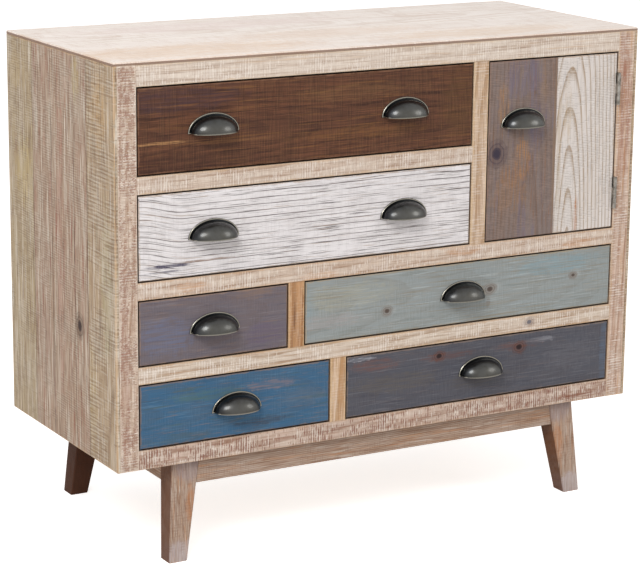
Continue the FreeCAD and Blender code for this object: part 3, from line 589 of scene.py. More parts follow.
    def below(self, tone, z, strength):
        """Another tone on everything below a level."""
        height = self.wiring.split(self.place)[2]
        self.coat(self.wiring.sum("LESS_THAN", height, at(0, 0, z).z), tone, strength)

    def sideways(self, tone, strength):
        """Another tone on the faces that look to the left or right, such as painted shade on the legs' sides.
        """
        normal = self.wiring.split(self.wiring.node("ShaderNodeNewGeometry").outputs["True Normal"])[0]
        facing = self.wiring.span(self.wiring.sum("ABSOLUTE", normal), 0.6, 0.9)
        self.coat(facing, tone, strength)

    def worn(self, tone, strength, width, roughness, bump):
        """The last coat, wear along the edges, and then the finish goes on the board."""
        self.edges(tone, strength, width)
        self.apply(roughness, bump)

    def apply(self, roughness, bump):
        wiring = self.wiring
        rough = wiring.span(self.tone, 0.0, 1.0, roughness - 0.07, roughness + 0.08, smooth=False)
        inputs = {"Base Color": self.colour, "Roughness": rough, "Specular IOR Level": 0.2}
        wiring.surface(inputs, self.height, bump, GRAIN_DEPTH)
        dress(self.node, self.material)


def dress(node, material):
    """Puts a finish on a construction node through its object's own slots."""
    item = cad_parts[node]
    if not item.material_slots:
        raise RuntimeError(f"{node} has no material slot")
    for slot in item.material_slots:
        slot.link = "OBJECT"
        slot.material = material


# Seams, stains and marks, in millimetres: middle, reach and tone, then strength, raggedness and threads

TOP_SEAMS = (104, 197, 301)
BEYOND = 900  # a seam that lies off the board
TOP_TONES = (
    (140, 70, 240, 70, "#e3c6ab"),
    (420, 150, 200, 50, "#e8d2c0"),
    (640, 60, 200, 50, "#e6cdb6"),
    (300, 300, 260, 50, "#e9d8d2"),
)
SIDE_SEAMS = (94.5, 141, 222, 290.5)
SIDE_STAINS = (
    (325, 540, 34, 60, "#bfa873"),
    (350, 690, 30, 30, "#b8a27c"),
    (131, 705, 14, 34, "#b09a58"),
    (50, 670, 34, 60, "#b8925f"),
    (80, 240, 14, 90, "#b99f6c"),
    (30, 420, 22, 120, "#a9a07c"),
    (195, 430, 10, 260, "#b58f80"),
    (222, 240, 5, 70, "#745248"),
    (185, 620, 5, 60, "#a5604c"),
    (255, 330, 22, 130, "#a89080"),
)
LEG_TONES = (
    (122, 140, 30, 24, "#95888a"),
    (122, 82, 10, 34, "#b07446"),
    (100, 14, 30, 20, "#bab1b4"),
)
FRONT_MARKS = {
    "right_stile": (
        (880, 610, 12, 120, "#9b6650", 0.6, 0.9),
        (874, 690, 8, 60, "#9b6650", 0.4, 0.9),
    ),
    "brown": (
        (90, 690, 120, 24, "#453238", 0.6, 0.9),
        (60, 596, 120, 16, "#3d241c", 0.6, 0.9),
        (66, 627.5, 66, 2.6, "#ac8055", 0.85, 0.6),
        (180, 623, 90, 3, "#80583a", 0.6, 1.0),
        (400, 618, 130, 10, "#7d5530", 0.5, 1.0),
        (390, 680, 120, 14, "#7d5a3a", 0.4, 1.2),
        (570, 650, 36, 60, "#624528", 0.5, 1.0),
    ),
    "white": (
        (84, 449, 40, 3.4, "#3c3850", 0.95, 0.8, 0.6),
        (76, 441, 36, 1.6, "#3c3850", 0.85, 0.8, 0.6),
        (150, 452, 50, 2.2, "#8a6a50", 0.75, 1.0),
        (305, 478, 16, 1.3, "#5d4a3a", 0.7, 0.8),
    ),
    "taupe": (
        (80, 345, 50, 30, "#686c82", 0.75, 1.4),
        (215, 395, 40, 10, "#7f6a60", 0.75, 1.4),
        (240, 330, 36, 22, "#64596a", 0.75, 1.4),
    ),
    "sage": (
        (380, 372, 90, 22, "#a5a08c", 0.45, 1.5),
        (633, 333, 4, 9, "#776960", 0.6, 1.2),
        (760, 380, 80, 16, "#7f99a2", 0.6, 1.3),
        (340, 336, 70, 12, "#a39a98", 0.5, 1.5),
        (300, 366, 26, 34, "#83979f", 0.5, 1.5),
    ),
    "blue": (
        (150, 250, 70, 9, "#4f6a66", 0.6, 1.5),
        (305, 226, 46, 16, "#5d6c7c", 0.6, 1.5),
        (100, 190, 60, 8, "#4d5a5c", 0.5, 1.5),
        (250, 252, 46, 8, "#7b7076", 0.8, 1.4),
        (235, 198, 44, 7, "#3a3331", 0.5, 1.6),
    ),
    "slate": (
        (470, 226, 80, 16, "#5f5852", 0.6, 1.5),
        (620, 212, 70, 14, "#57524f", 0.5, 1.5),
        (560, 257, 50, 7, "#6c4d46", 0.55, 1.5),
        (690, 258, 50, 7, "#6c4d46", 0.55, 1.5),
        (430, 258, 50, 12, "#6f4f48", 0.6, 1.4),
        (400, 270, 30, 3, "#a9abb2", 0.8, 1.4),
        (735, 262, 30, 5, "#8a8a90", 0.6, 1.5),
        (790, 230, 60, 26, "#6b6a70", 0.4, 1.5),
        (857, 229, 9, 60, "#5c6a7c", 0.6),
    ),
    "door_right": (
        (792, 455, 4.5, 34, "#ad7145", 0.85),
        (772, 620, 10, 50, "#b3935f", 0.35, 1.3),
        (757, 560, 5, 130, "#b09a7c", 0.5, 1.0),
    ),
}
DOOR_RUBS = (
    (652, 640, 12, 40, "#a87c50"),
    (690, 555, 14, 34, "#b37c3f"),
    (668, 530, 26, 22, "#9a6c44"),
    (664, 500, 36, 30, "#8f6e54"),
    (725, 660, 6, 60, "#8f7358"),
    (690, 680, 40, 34, "#6f6676"),
    (715, 610, 20, 40, "#70687a"),
)


class SIDEBOARD_OT_top(bpy.types.Operator):
    """Pale, thinly washed board top"""

    bl_idname = "sideboard.top"
    bl_label = "Top"

    def execute(self, context):
        wood = context.scene.sideboard_wood
        board = BoardFinish("top_boards", "top_panel", "XZY", wood.top, "#c9ae9b", (120, 60), 0.03, 6, 10,
                            strength=0.6)
        wiring = board.wiring
        number = board.numbered((*TOP_SEAMS, BEYOND))
        for index, tone in enumerate(("#ead9cb", "#efe2d8", "#e5d6ca", "#ecdfd4")):
            board.coat(wiring.sum("COMPARE", number, float(index), 0.2), tone, 0.5)
        board.fibre_lines("#c0a592", 0.35)
        board.streaks("#c99f82", 0.45, 160, 7, 0.38)
        # the top's whitewash is paler than the front's: partly the board's own colour, partly painted light
        # from above
        board.paint("#faf2ec", 0.8, 0.3, 0.3, 0.9)
        board.saw("#cdb6a6", 0.35, wood.saw_spacing, 30, 0.42, depth=0.25)
        for x, y, long, wide, tone in TOP_TONES:
            board.patch((x, y, CASE_TOP), (long, wide, PATCH_DEPTH), tone, 0.7, 1.2)
        board.edges("#c9a98c", 0.35, wood.edge_width)
        board.below("#7a5942", LIP_EDGE, 0.85)
        board.apply(0.66, 0.4)
        return {"FINISHED"}


class SIDEBOARD_OT_sides(bpy.types.Operator):
    """Side panels of five upright boards, each with its own tone"""

    bl_idname = "sideboard.sides"
    bl_label = "Sides"

    def execute(self, context):
        wood = context.scene.sideboard_wood
        tones = (wood.side_front, wood.side_middle, wood.side_middle, wood.side_middle, wood.side_back)
        for side in ("left", "right"):
            node = f"{side}_side_panel"
            board = BoardFinish(node, node, "ZXY", "#b39c83", "#8d705a", (90, -60), 0.05, 5, 9,
                                strength=0.6)
            wiring = board.wiring
            number = board.numbered(SIDE_SEAMS)
            board.grain_vector = wiring.vector("ADD", board.grain_vector, wiring.join(number, 0.0, number))
            boards = [wiring.sum("COMPARE", number, float(index), 0.2) for index in range(5)]
            middle = wiring.plus(wiring.plus(boards[1], boards[2]), boards[3])
            for mask, tone in zip(boards, tones):
                board.coat(mask, tone, 0.8)
            board.fibre_lines("#75604d", 0.5)
            board.streaks("#8f8672", 0.45, 140, 9, 0.36, 8)
            board.streaks("#7c5a48", 0.75, 60, 2.6, 0.38, 1)
            board.streaks("#925a49", 0.8, 80, 3, 0.43, 2, within=middle)
            board.streaks("#dcd2c4", 0.7, 100, 2.8, 0.44, 4)
            edge = 0 if side == "left" else CASE_WIDTH
            for y, z, wide, tall, tone in SIDE_STAINS:
                board.patch((edge, y, z), (40, wide, tall), tone, 0.6, 1.5)
            board.paint("#cfc4b4", 0.24, 0.2, 0.4, 1.3, (10.0, 45.0, 45.0))
            fine, coarse = wood.saw_spacing * 0.85, wood.saw_spacing * 1.35
            board.saw("#d9cfc0", 0.2, fine, 16, 0.5, 1.1)
            board.saw("#77604c", 0.3, fine, 14, 0.44, 1.1, shift=fine / 2)
            board.saw("#d6ccbd", 0.26, coarse, 50, 0.5, 0.9, within=boards[0])
            board.saw("#7f644b", 0.38, coarse, 40, 0.44, 0.9, shift=coarse / 2, within=boards[0])
            board.streaks("#5c4334", 0.75, 90, 1.6, 0.4, 14)
            for seam in SIDE_SEAMS:
                board.patch((edge, seam, 440), (30, 1.3, 400), "#4f3a2c", 0.75, 0.6, 0.5)
            board.edges("#cbab88", 0.5, wood.edge_width)
            if side == "left":
                board.knot((0, 125.4, 342.2), 7, "#3f3230", "#6f5c4e")
            board.apply(0.78, 0.6)
        return {"FINISHED"}


class SIDEBOARD_OT_face_frame(bpy.types.Operator):
    """Whitewashed, rough-sawn stiles, rails and uprights"""

    bl_idname = "sideboard.face_frame"
    bl_label = "Face frame"

    def washed(self, wood, node, order, early, late, cover, dashes, hatch=0.3, tone=None, seed=1, reach=9,
               pale=0.55):
        """Whitewash that is thin over the grain, with pale ridges and dark hollows of the saw across it, and
        painted shade on the faces round the openings.
        """
        board = BoardFinish(node, node, order, early, late, (150, 40), 0.012, 3.4, 4, seed, 0.6)
        board.fibre_lines("#80604c", 0.5)
        board.streaks(late, 0.5, 60, 2.6, 0.4, seed + 1)
        board.paint(wood.wash, cover, 0.25, 0.4, 1.1, (22.0, 130.0, 130.0))
        spacing = wood.saw_spacing
        board.saw("#ece3d9", pale, spacing, reach * 1.3, 0.46, 1.0, -0.2)
        board.saw(tone or wood.saw, dashes, spacing * 0.9, reach, 0.5, 0.7, 0.6, shift=spacing / 2)
        board.saw("#a48c79", hatch, spacing * 0.55, 40, 0.72, 0.3, 0.3)
        # painted shade: the faces round the drawer and door openings are darkened so that the gaps look dark
        board.behind("#7d6350", FRONT_SKIN, 0.75)
        return board

    def execute(self, context):
        wood = context.scene.sideboard_wood
        orange = "#c08a5c"
        board = self.washed(wood, "left_stile", "ZYX", wood.early, wood.late, 0.6, 0.78, 0.4, seed=1, reach=4)
        board.mark(14, 300, 8, 170, "#9c6c5a", 0.4, 0.9)
        board.saw("#84584a", 0.45, wood.saw_spacing * 0.9, 3, 0.4, 0.6)
        board.worn("#e3d3c2", 0.5, wood.edge_width, 0.8, 0.65)

        board = self.washed(wood, "right_stile", "ZYX", "#cba892", "#a07761", 0.5, 0.4, seed=2)
        board.marks(FRONT_MARKS["right_stile"])
        board.streaks("#c4976c", 0.45, 120, 5, 0.42, 9)
        board.worn("#cdb294", 0.5, wood.edge_width, 0.78, 0.55)

        board = self.washed(wood, "top_rail", "XYZ", "#d8c9ba", "#b39c89", 0.74, 0.15, 0.16, seed=3)
        board.streaks("#c9a988", 0.45, 130, 4, 0.38, 4)
        board.streaks("#a78a74", 0.55, 110, 1.4, 0.4, 24)
        board.worn("#cdb496", 0.5, wood.edge_width, 0.76, 0.5)

        board = self.washed(wood, "upper_rail", "XYZ", "#cfbaa7", "#a98b77", 0.62, 0.25, 0.35, seed=4)
        board.worn("#cbae8c", 0.5, wood.edge_width, 0.76, 0.5)

        board = self.washed(wood, "middle_rail", "XYZ", "#cfb8a4", "#a98a73", 0.6, 0.25, 0.3, seed=5)
        for x, z in ((330, 408), (585, 420), (120, 415), (800, 412)):
            board.mark(x, z, 34, 7, orange, 0.45, 1.4)
        board.worn("#cba884", 0.5, wood.edge_width, 0.76, 0.5)

        board = self.washed(wood, "lower_rail", "XYZ", "#d0bea9", "#a68970", 0.62, 0.1, 0.12, seed=6)
        board.streaks("#a98465", 0.65, 90, 2.0, 0.42, 8)
        board.streaks("#8f7059", 0.5, 70, 1.4, 0.36, 18)
        board.knot((710.5, 0, 293), 3.5, "#6d6a70", "#a08c80")
        board.worn("#c6a47e", 0.55, wood.edge_width, 0.75, 0.45)

        board = self.washed(wood, "bottom_rail", "XYZ", "#bf9f8d", "#906c59", 0.5, 0.85, 0.35, "#86594a", 7)
        board.mark(800, 160, 60, 4, "#7d4a35", 0.7)
        board.worn("#ccb096", 0.45, wood.edge_width, 0.8, 0.65)

        board = self.washed(wood, "centre_upright", "ZYX", "#cdac8a", "#a3805f", 0.4, 0.08, 0.3, seed=8,
                            pale=0.3)
        board.worn("#d6bb97", 0.5, wood.edge_width, 0.74, 0.45)

        board = self.washed(wood, "row_three_upright", "ZYX", "#bd9168", "#8f633d", 0.12, 0.08, 0.1, seed=9,
                            pale=0.08)
        board.mark(290, 352, 3, 24, "#6b4630", 0.75, 0.7)
        board.worn("#d5b48b", 0.5, wood.edge_width, 0.72, 0.45)

        board = self.washed(wood, "row_four_upright", "ZYX", "#d0ab84", "#a37c54", 0.3, 0.08, 0.1, seed=10,
                            pale=0.12)
        board.mark(371, 229, 7, 70, "#b08255", 0.5, 0.3)
        board.worn("#dabb92", 0.5, wood.edge_width, 0.72, 0.45)
        return {"FINISHED"}


class SIDEBOARD_OT_drawer_fronts(bpy.types.Operator):
    """Six drawer fronts, each stained or painted in its own colour and worn"""

    bl_idname = "sideboard.drawer_fronts"
    bl_label = "Drawer fronts"

    def finish(self, board, wood, rim, roughness=0.6, bump=0.45):
        board.front_board(wood, rim)
        board.apply(roughness, bump)

    def painted(self, name, early, late, tone, cover, wear, seed, darker, lighter):
        """Paint that has gone thin over the grain, with brush streaks and a fine hatch of saw marks."""
        board = BoardFinish(f"{name}_paint", f"{name}_drawer_front", "XYZ", early, late, (58, 10 - seed),
                            0.05, 4.4, 8, seed, 0.6)
        board.fibre_lines(late, 0.5)
        board.paint(tone, cover, 0.25, 0.3, wear, (14.0, 90.0, 90.0))
        board.streaks(darker, 0.65, 80, 3.0, 0.42, seed + 2)
        board.streaks(lighter, 0.6, 60, 2.2, 0.4, seed + 5)
        board.streaks(early, 0.45, 45, 2.0, 0.3, seed + 8)
        board.saw(darker, 0.3, FINE_SAW, 20, 0.5, 1.1, 0.25)
        board.saw(lighter, 0.22, FINE_SAW, 20, 0.46, 1.1, 0.25, shift=FINE_SAW / 2)
        return board

    def execute(self, context):
        wood, paint = context.scene.sideboard_wood, context.scene.sideboard_paint
        worn = paint.wear

        board = BoardFinish("brown_stain", "brown_drawer_front", "XYZ", "#643f2c", "#38221a",
                            (60, -12), 0.06, 5.2, 9, strength=0.5)
        board.fibre_lines("#2d1b14", 0.55)
        board.coat(board.tone, paint.brown, 0.45)
        board.streaks("#331e17", 0.7, 130, 5, 0.45)
        board.streaks("#865c34", 0.5, 110, 2.4, 0.38, 7)
        board.streaks("#7a4f38", 0.5, 60, 1.6, 0.42, 9)
        board.marks(FRONT_MARKS["brown"])
        board.saw("#2b1a13", 0.35, FINE_SAW, 60, 0.55, 0.6)
        board.saw("#8a6243", 0.18, FINE_SAW, 40, 0.45, 0.9, shift=FINE_SAW / 2)
        self.finish(board, wood, "#86624c", 0.56, 0.55)

        board = BoardFinish("white_paint", "white_drawer_front", "XYZ", "#d6d0ce", "#453b39", (110, 150),
                            0.004, 7.0, 3.6, strength=1.0, ring_edge=0.74, sweep=(-205, -280, -13))
        board.fibre_lines("#8f8687", 0.3)
        board.paint(paint.white, 0.88, 0.8, 0.25, 2.0, (12.0, 90.0, 90.0))
        board.streaks(paint.white, 0.9, 130, 9, 0.56, 31)
        board.streaks("#332a28", 0.85, 70, 1.2, 0.37, 11)
        board.streaks("#6b5d56", 0.6, 60, 1.2, 0.32, 12)
        board.streaks("#a58f7c", 0.6, 70, 2.4, 0.34, 15)
        board.marks(FRONT_MARKS["white"])
        board.saw("#b9b0b1", 0.16, FINE_SAW, 30, 0.5, 0.8)
        self.finish(board, wood, "#b9a591", 0.7, 0.8)

        board = self.painted("taupe", "#8a7060", "#574b4c", paint.taupe, 1.0, worn, 3,
                             "#5b545e", "#7f787d")
        board.marks(FRONT_MARKS["taupe"])
        self.finish(board, wood, "#927968")

        board = self.painted("sage", "#9f9788", "#6d6d67", paint.sage, 1.0, worn, 4,
                             "#7c827f", "#a5acad")
        board.marks(FRONT_MARKS["sage"])
        board.streaks("#8a7f6c", 0.6, 120, 1.6, 0.36, 41)
        for x, z, radius in ((449.7, 340.7, 3.6), (635.5, 354.3, 4.2), (792.1, 359.6, 2.8)):
            board.mark(x + 4, z + 2, radius * 4, radius * 3, "#a8acaa", 0.5, 1.2)
            board.knot((x, 0, z), radius, "#51453e", "#7d7168")
        self.finish(board, wood, "#a3937a")

        board = self.painted("blue", "#6f6c69", "#34495c", paint.blue, 1.04, worn, 5,
                             "#33526c", "#567892")
        board.streaks("#7f6f69", 0.5, 40, 2.2, 0.3, 33)
        board.streaks("#4a5c58", 0.5, 90, 6, 0.34, 35)
        board.marks(FRONT_MARKS["blue"])
        self.finish(board, wood, "#86705f")

        board = self.painted("slate", "#6f6462", "#3d3d44", paint.slate, 1.0, worn, 6,
                             "#45454e", "#6a696f")
        board.marks(FRONT_MARKS["slate"])
        for x, z, radius in ((544.7, 258.3, 4.0), (693.1, 254.2, 4.6)):
            board.knot((x, 0, z), radius, "#251a1b", "#674338")
        self.finish(board, wood, "#86756a")
        return {"FINISHED"}


class SIDEBOARD_OT_door_boards(bpy.types.Operator):
    """Two door boards: worn taupe on the left, whitish over strong grain on the right"""

    bl_idname = "sideboard.door_boards"
    bl_label = "Door boards"

    def execute(self, context):
        wood, paint = context.scene.sideboard_wood, context.scene.sideboard_paint
        board = BoardFinish("door_left_paint", "door_left_board", "ZYX", "#8a6a50", "#55433b",
                            (60, 14), 0.03, 5, 6, strength=0.7)
        board.fibre_lines("#54453f", 0.5)
        board.paint(paint.door_left, 0.92, 0.3, 0.35, 0.9, (14.0, 60.0, 60.0))
        board.streaks("#706a7c", 0.4, 110, 12, 0.42, 21)
        board.streaks("#83583a", 0.5, 70, 3, 0.36, 23)
        for x, z, wide, tall, tone in DOOR_RUBS:
            board.mark(x, z, wide, tall, tone, 0.6, 1.5, 0.95)
        board.streaks("#9a8378", 0.4, 14, 1.2, 0.36, 27)
        board.saw("#5f5049", 0.22, FINE_SAW, 20, 0.5, 1.1)
        board.saw("#ab8f80", 0.2, FINE_SAW, 12, 0.44, 1.2, shift=FINE_SAW / 2)
        board.knot((641, 0, 566), 8.5, "#37303d", "#5a4a4b", 1.15)
        board.mark(747.4, 569, 2.8, 150, "#88705a", 0.8, 0.6, 0.3)
        board.front_board(wood, "#94796a", 0.5)
        board.apply(0.62, 0.5)

        board = BoardFinish("door_right_paint", "door_right_board", "ZYX", "#cfc3b8", "#957a5c",
                            (30, -27), 0.11, 6.8, 9, strength=0.8, ring_edge=0.5)
        board.fibre_lines("#9d8c7c", 0.45)
        board.paint(paint.door_right, 0.86, 0.72, 0.35, 0.9, (14.0, 60.0, 60.0))
        board.streaks("#a09a98", 0.4, 50, 3, 0.36, 29)
        board.marks(FRONT_MARKS["door_right"])
        board.saw("#9a8f87", 0.35, FINE_SAW, 8, 0.46, 1.2)
        board.saw("#e8e2dc", 0.35, FINE_SAW, 8, 0.46, 1.2, shift=FINE_SAW / 2)
        board.front_board(wood, "#b89a7c", 0.5)
        board.apply(0.68, 0.55)
        return {"FINISHED"}


class SIDEBOARD_OT_legs(bpy.types.Operator):
    """Legs and aprons in grey-washed wood"""

    bl_idname = "sideboard.legs"
    bl_label = "Legs and aprons"

    def execute(self, context):
        wood = context.scene.sideboard_wood
        dark = "#6d4a35"
        pieces = {f"{end}_{side}_leg": "ZYX" for end in ("front", "rear") for side in ("left", "right")}
        pieces.update({"front_apron": "XYZ", "rear_apron": "XYZ", "side_aprons": "YXZ"})
        for seed, (node, order) in enumerate(pieces.items()):
            board = BoardFinish(node, node, order, wood.legs, dark, (20, 300), 0.004, 2.8, 1.6, seed, 0.4)
            board.fibre_lines("#755541", 0.55)
            board.streaks("#be8452", 0.5, 110, 5, 0.4, seed + 3)
            board.paint("#b9aca2", 0.42, 0.3, 0.3, 1.0)
            board.streaks("#7c5a45", 0.6, 60, 2, 0.42, seed + 5)
            board.streaks("#d2c6bb", 0.5, 45, 2.6, 0.36, seed + 9)
            board.streaks("#b9783f", 0.35, 90, 3, 0.34, seed + 12)
            if node in ("front_left_leg", "front_right_leg"):
                for x, z, wide, tall, tone in LEG_TONES:
                    x = x if "left" in node else CASE_WIDTH - x
                    board.patch((x, 5, z), (wide, 60, tall), tone, 0.6, 1.0, 0.4)
            board.saw("#7a5a46", 0.2, wood.saw_spacing, 10, 0.35)
            if "rear" in node:
                # the rear legs and rear apron are nearly dark brown: partly a darker stain, partly painted
                # shade at the back of the case
                board.coat(0.97, "#472718")
            elif node.endswith("leg"):
                # the legs' left and right faces are darker: partly a darker stain, partly painted shade
                board.sideways("#5e3a27", 0.85)
            board.apply(0.66, 0.5)
        return {"FINISHED"}


class SIDEBOARD_OT_inside(bpy.types.Operator):
    """Bare pine and plywood inside the case, the drawers and on the back"""

    bl_idname = "sideboard.inside"
    bl_label = "Inside"

    def execute(self, context):
        wood = context.scene.sideboard_wood
        along_x = ["bottom_panel", "compartment_floor", "rear_rails", "door_battens"]
        along_y = ["side_runners", "centre_runners", "partition"]
        boxes = [f"{name}_drawer_box" for name in DRAWER_NAMES]
        bottoms = [f"{name}_drawer_bottom" for name in DRAWER_NAMES]
        lengthwise = ("pine_lengthwise", "XZY", along_x)
        front_to_back = ("pine_front_to_back", "YZX", along_y + boxes)
        for name, order, nodes in (lengthwise, front_to_back):
            for seed, node in enumerate(nodes):
                board = BoardFinish(f"{name}_{node}", node, order, wood.inside, PINE_LATE, (80, 10), 0.012,
                                    6, 4, seed, 0.45)
                board.fibre_lines("#b08a60", 0.35)
                board.streaks("#c79a66", 0.35, 90, 5, 0.35, seed + 2)
                board.apply(0.62, 0.3)
        for seed, node in enumerate(["back_panel", *bottoms]):
            sheet = BoardFinish(f"plywood_{node}", node, "XZY" if seed else "ZYX", "#cbb08a", "#b4946a",
                                (240, 30), 0.09, 11, 9, seed, 0.45)
            sheet.fibre_lines("#a98558", 0.4)
            sheet.coat(sheet.tone, "#c8a777", 0.4)
            sheet.apply(0.6, 0.25)
        return {"FINISHED"}


# Metal finishes and fittings


def metal(name, base, worn, roughness, bright=None):
    """Dull old metal; where a colour for bright metal is given, a mesh attribute shows it on rubbed rims and
    crowns, partly as painted highlight.
    """
    material, wiring = new_material(name)
    place = wiring.object_place()
    cloud = wiring.span(wiring.noise(place, 90.0, 4.0, 0.6)[0], 0.35, 0.7)
    grit = wiring.noise(place, 900.0, 2.0)[0]
    tone = wiring.mix(cloud, base, worn)
    rough = wiring.span(cloud, 0.0, 1.0, roughness, roughness + 0.12, smooth=False)
    if bright is not None:
        # rubbed bronze and painted highlight: the attribute lightens rims, bead and crown and makes them
        # glossier
        rubbed_and_highlight = wiring.node("ShaderNodeAttribute", attribute_name="polish_and_highlight").outputs["Fac"]
        tone = wiring.mix(rubbed_and_highlight, tone, bright)
        rough = wiring.sum("MULTIPLY_ADD", rubbed_and_highlight, -0.08, rough)
    coat = 0.0 if bright is None else 0.5
    inputs = {"Base Color": tone, "Metallic": 1.0, "Roughness": rough}
    inputs.update({"Coat Weight": coat, "Coat Roughness": 0.16})
    wiring.surface(inputs, grit, 0.12)
    return material


def steel_finish(settings):
    """The one finish of hinges, screws and brads."""
    return bpy.data.materials.get("dull_steel") or metal("dull_steel", settings.steel, "#6f6a62", 0.32)


def add_object(name, data):
    item = bpy.data.objects.new(name, data)
    bpy.context.scene.collection.objects.link(item)
    return item


def gather(whole, part):
    """Adds one mesh under construction to another."""
    mesh = bpy.data.meshes.new("part")
    part.to_mesh(mesh)
    part.free()
    whole.from_mesh(mesh)
    bpy.data.meshes.remove(mesh)


def finished(name, bm, body, material):
    """Turns a mesh under construction into a smooth piece with sharp edges that rides on a body."""
    bmesh.ops.recalc_face_normals(bm, faces=bm.faces)
    mesh = bpy.data.meshes.new(name)
    bm.to_mesh(mesh)
    bm.free()
    for face in mesh.polygons:
        face.use_smooth = True
    mesh.set_sharp_from_angle(angle=math.radians(35))
    item = add_object(name, mesh)
    mesh.materials.append(material)
    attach(item, body)
    return item


def drawn_out(bm, faces, vector):
    """Extrudes faces along a vector, and gives back the new outer corners and faces."""
    solid = bmesh.ops.extrude_face_region(bm, geom=faces)["geom"]
    corners = [item for item in solid if isinstance(item, bmesh.types.BMVert)]
    bmesh.ops.translate(bm, vec=vector, verts=corners)
    return corners, [item for item in solid if isinstance(item, bmesh.types.BMFace)]


def pull_node(drawer):
    return f"{drawer}_drawer_pulls" if drawer in WIDE_DRAWERS else f"{drawer}_drawer_pull"


def pull_lefts(node):
    """Where each pull of a node starts: one pull, or two that share the node."""
    low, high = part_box(node)
    wide = PULL_WIDTH * MM
    return [low.x, high.x - wide] if high.x - low.x > 1.5 * wide else [low.x]


class SIDEBOARD_OT_pulls(bpy.types.Operator):
    """Cup pulls on the drawers and the door"""

    bl_idname = "sideboard.pulls"
    bl_label = "Cup pulls"

    def half_oval(self, half_width, height):
        """The upper half of an oval line, standing upright with its ends level."""
        bm = bmesh.new()
        ring = bmesh.ops.create_circle(bm, segments=72, radius=1.0)["verts"]
        bmesh.ops.scale(bm, vec=(half_width * MM, height * MM, 1), verts=ring)
        bmesh.ops.delete(bm, geom=[vert for vert in ring if vert.co.y < -1e-7], context="VERTS")
        bmesh.ops.rotate(bm, cent=(0, 0, 0), matrix=Matrix.Rotation(math.radians(90), 3, "X"), verts=bm.verts)
        return bm

    def cup(self, settings, middle):
        """The cup alone: the half oval turned a quarter circle, as its own closed shell."""
        bm = self.half_oval(PULL_WIDTH / 2 - PULL_FLANGE, CUP_HEIGHT)
        line = list(bm.verts) + list(bm.edges)
        bmesh.ops.spin(bm, geom=line, cent=(0, 0, 0), axis=(1, 0, 0), angle=math.radians(90), steps=18)
        bmesh.ops.remove_doubles(bm, verts=bm.verts, dist=1e-6)
        bmesh.ops.recalc_face_normals(bm, faces=bm.faces)
        bmesh.ops.solidify(bm, geom=list(bm.faces), thickness=settings.wall)
        # rubbed bronze and painted highlight on the lower rim and towards the crown
        polish_and_highlight = bm.verts.layers.float.new("polish_and_highlight")
        for vert in bm.verts:
            front = -vert.co.y / MM
            on_rim = vert.co.z < RIM_REACH * MM and front > RIM_START
            crown = min(max((front - CROWN_START) / (CROWN_END - CROWN_START), 0.0), 1.0)
            vert[polish_and_highlight] = 0.9 if on_rim else 0.16 * crown
        bmesh.ops.translate(bm, vec=middle + Vector((0, -CUP_STANDS * MM, 0)), verts=bm.verts)
        return bm

    def inset(self, bm, face, thickness, depth):
        bmesh.ops.inset_region(bm, faces=[face], thickness=thickness, depth=depth, use_even_offset=True)

    def flange(self, settings, middle):
        """A thin half-oval plate with a raised bead round it."""
        bm = self.half_oval(PULL_WIDTH / 2, CUP_HEIGHT + PULL_FLANGE)
        bead = settings.bead
        plate = bmesh.ops.contextual_create(bm, geom=list(bm.verts))["faces"]
        top = drawn_out(bm, plate[:1], (0, -FLANGE_THICK * MM, 0))[1][0]
        bmesh.ops.recalc_face_normals(bm, faces=bm.faces)
        for share_of_bead, depth in ((0.3, BEAD_RISE * MM), (0.4, 0)):
            self.inset(bm, top, bead * share_of_bead, depth)
        # rubbed bronze and painted highlight on the bead's crest
        polish_and_highlight = bm.verts.layers.float.new("polish_and_highlight")
        for vert in bm.verts:
            vert[polish_and_highlight] = 1.0 if vert.co.y < -(FLANGE_THICK + BEAD_RISE * 0.7) * MM else 0.0
        self.inset(bm, top, bead * 0.3, -BEAD_FALL * MM)
        for vert in top.verts:
            vert[polish_and_highlight] = 0.0
        bmesh.ops.translate(bm, vec=middle, verts=bm.verts)
        return bm

    def execute(self, context):
        settings = context.scene.sideboard_metal
        bronze = metal("aged_bronze", settings.bronze, "#1e1f20", 0.32, settings.rubbed_and_highlight)
        holders = {f"{name}_drawer": pull_node(name) for name in DRAWER_NAMES}
        holders["door"] = "door_pull"
        for body, node in holders.items():
            low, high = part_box(node)
            whole = bmesh.new()
            whole.verts.layers.float.new("polish_and_highlight")
            for left in pull_lefts(node):
                middle = Vector((left + PULL_WIDTH / 2 * MM, high.y, low.z))
                gather(whole, self.cup(settings, middle))
                gather(whole, self.flange(settings, middle))
            piece = finished(f"{node}_cast", whole, body, bronze)
            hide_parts(node)
        return {"FINISHED"}


class SIDEBOARD_OT_hardware(bpy.types.Operator):
    """Steel of hinges and strike plate, plastic of the catch"""

    bl_idname = "sideboard.hardware"
    bl_label = "Hinges and catch"

    def execute(self, context):
        steel = steel_finish(context.scene.sideboard_metal)
        for node in ("hinge_case_leaves", "hinge_door_leaves", "hinge_pins", "strike_plate"):
            dress(node, steel)
        plastic, wiring = new_material("catch_plastic")
        place = wiring.object_place()
        grit = wiring.noise(place, 1500.0, 2.0)[0]
        cloud = wiring.span(wiring.noise(place, 60.0, 3.0)[0], 0.3, 0.7)
        tone = wiring.mix(cloud, "#e6e0d4", "#d3cab9")
        wiring.surface({"Base Color": tone, "Roughness": 0.45}, grit)
        dress("magnetic_catch", plastic)
        return {"FINISHED"}


